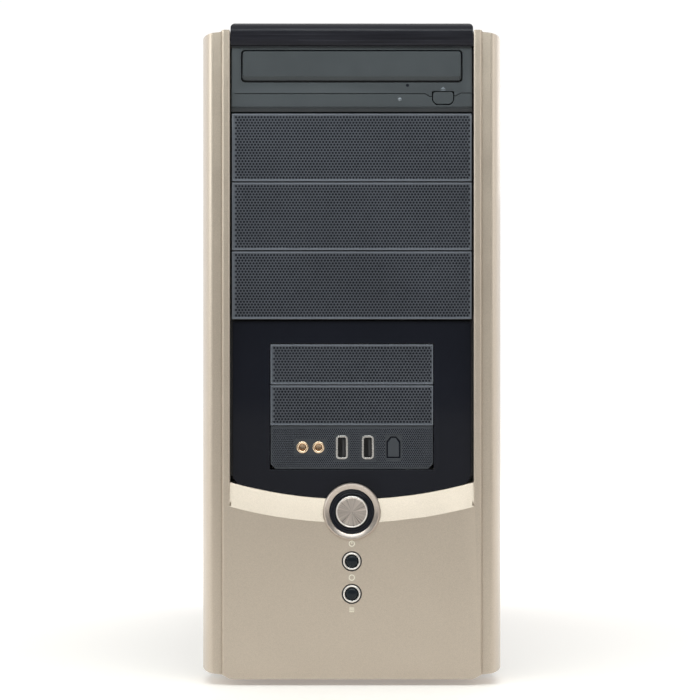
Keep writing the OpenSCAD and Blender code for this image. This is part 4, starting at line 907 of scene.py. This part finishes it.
def slot_ribs():
    """A pressed rib along each of the four rear slot covers."""
    low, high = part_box("slot_covers")
    bm = bmesh.new()
    for k in range(4):
        z = high[2] - (9 + SLOT_PITCH * k) * MM
        slab(bm, (low[0] + 12 * MM, high[1] - 0.3 * MM, z - 3 * MM),
             (high[0] - 12 * MM, high[1] + 0.45 * MM, z + 3 * MM), 0.4 * MM)
    piece_from(bm, "slot_cover_ribs", "case", ZINC)


# ---------------------------------------------------------------- stage, light and camera

def soft_light(name, place, aim, size, power, colour=(1, 1, 1)):
    """A rectangular panel light that looks at a point."""
    data = bpy.data.lights.new(name, "AREA")
    data.shape = "RECTANGLE"
    data.size, data.size_y = size
    data.energy = power
    data.color = colour
    light = bpy.data.objects.new(name, data)
    light.location = place
    light.rotation_euler = (Vector(aim) - Vector(place)).to_track_quat("-Z", "Y").to_euler()
    bpy.context.scene.collection.objects.link(light)


def stage_floor():
    """Pale floor that glows more towards the rear, so that it runs out into the surroundings."""
    bm = bmesh.new()
    bmesh.ops.create_grid(bm, x_segments=8, y_segments=8, size=6)
    mesh = bpy.data.meshes.new("floor")
    bm.to_mesh(mesh)
    bm.free()
    floor = bpy.data.objects.new("floor", mesh)
    bpy.context.scene.collection.objects.link(floor)
    material, tree, shader, place = new_material("pale_floor")
    tone = tinted(tree, noise(tree, place, 3, 2), (0.83, 0.80, 0.76), (0.87, 0.84, 0.80))
    tree.links.new(tone, shader.inputs["Base Color"])
    shader.inputs["Roughness"].default_value = 0.6
    shader.inputs["Emission Color"].default_value = (1.0, 0.985, 0.975, 1)
    across = tree.nodes.new("ShaderNodeSeparateXYZ")
    tree.links.new(place, across.inputs["Vector"])
    glow = tree.nodes.new("ShaderNodeMapRange")
    glow.inputs["From Min"].default_value = -0.7
    glow.inputs["From Max"].default_value = 0.5
    glow.inputs["To Min"].default_value = 0.06
    glow.inputs["To Max"].default_value = 0.42
    tree.links.new(across.outputs["Y"], glow.inputs["Value"])
    tree.links.new(glow.outputs["Result"], shader.inputs["Emission Strength"])
    mesh.materials.append(material)


def studio():
    """Pale surroundings that darken towards the camera's side, with soft panels round about."""
    world = bpy.data.worlds.new("studio")
    world.use_nodes = True
    tree = world.node_tree
    sky = tree.nodes["Background"]
    sky.inputs["Color"].default_value = (1.0, 0.995, 0.985, 1)
    direction = tree.nodes.new("ShaderNodeTexCoord").outputs["Generated"]
    toward = tree.nodes.new("ShaderNodeVectorMath")
    toward.operation = "DOT_PRODUCT"
    toward.inputs[1].default_value = (0, -1, 0)
    tree.links.new(direction, toward.inputs[0])
    fade = tree.nodes.new("ShaderNodeMapRange")
    fade.inputs["From Min"].default_value = 0.0
    fade.inputs["From Max"].default_value = 0.5
    fade.inputs["To Min"].default_value = 1.03
    fade.inputs["To Max"].default_value = 0.12
    tree.links.new(toward.outputs["Value"], fade.inputs["Value"])
    tree.links.new(fade.outputs["Result"], sky.inputs["Strength"])
    bpy.context.scene.world = world
    soft_light("left_panel_light", (-1.6, -0.45, 0.8), (0, -0.2, 0.33), (1.3, 1.0), 7,
               (0.93, 1.0, 1.0))
    soft_light("right_panel_light", (1.6, -0.45, 0.75), (0, -0.2, 0.33), (1.2, 1.0), 1.8,
               (0.97, 1.0, 0.98))
    soft_light("overhead_light", (0, -0.8, 0.95), (0, -0.2, 0.28), (1.5, 0.6), 4.4,
               (0.95, 1.0, 1.0))
    soft_light("top_front_light", (0, -0.62, 0.66), (0, -0.21, 0.36), (0.9, 0.12), 1.8,
               (0.93, 1.0, 1.0))
    soft_light("rear_light", (0.6, 1.6, 1.0), (0, 0, 0.2), (1.4, 1.2), 3.5)
    bpy.context.scene.view_settings.view_transform = "Standard"


def camera():
    """Level view, straight on, from 1.3 m in front of the bezel."""
    data = bpy.data.cameras.new("camera")
    data.lens = 109
    data.sensor_width = 36
    eye = bpy.data.objects.new("camera", data)
    eye.location = (-0.0011, FACE_Y - 1.3, 0.206)
    eye.rotation_euler = (math.pi / 2, 0, 0)
    bpy.context.scene.collection.objects.link(eye)
    bpy.context.scene.camera = eye


camera()
stage_floor()
studio()

for cover in ("bay_cover_1", "bay_cover_2", "bay_cover_3"):
    dimpled_cover(cover)
for cover in ("small_cover_1", "small_cover_2"):
    dimpled_cover(cover, 1.0)

refined("front_bezel", edge=0.35, smooth=14, bevel_angle=16)
refined("top_cap", edge=0.3, material=CAP_GLOSS, smooth=30)
power_controls()
small_controls()
control_marks()
drive_face()
drive_small_parts()
tray_face()
eject_button()
port_panel()
port_blank()
audio_rings()
usb_ports()
wire_guard()
knurled_screws("left_thumbscrews")
knurled_screws("right_thumbscrews")
socket_tongues()
round_inserts()
inlet_pins()
slot_ribs()

# Nodes that the calls above have remade, then inner ones that keep their own mesh
REMADE = {
    "front_bezel", "top_cap", "bay_cover_1", "bay_cover_2", "bay_cover_3", "small_cover_1",
    "small_cover_2", "button_collar", "power_light_ring", "power_button", "control_rings",
    "reset_button", "activity_light", "drive_bezel", "tray_front", "eject_button", "io_panel",
    "audio_jacks", "usb_sockets", "psu_fan_guard", "left_thumbscrews", "right_thumbscrews",
}
KEPT = {"internal_leads", "psu_board", "front_boards", "drive_loader", "disc_spindle"}
for node in frame["nodes"]:
    if node in KEPT:
        carried_over(node)
    elif node not in REMADE:
        refined(node)
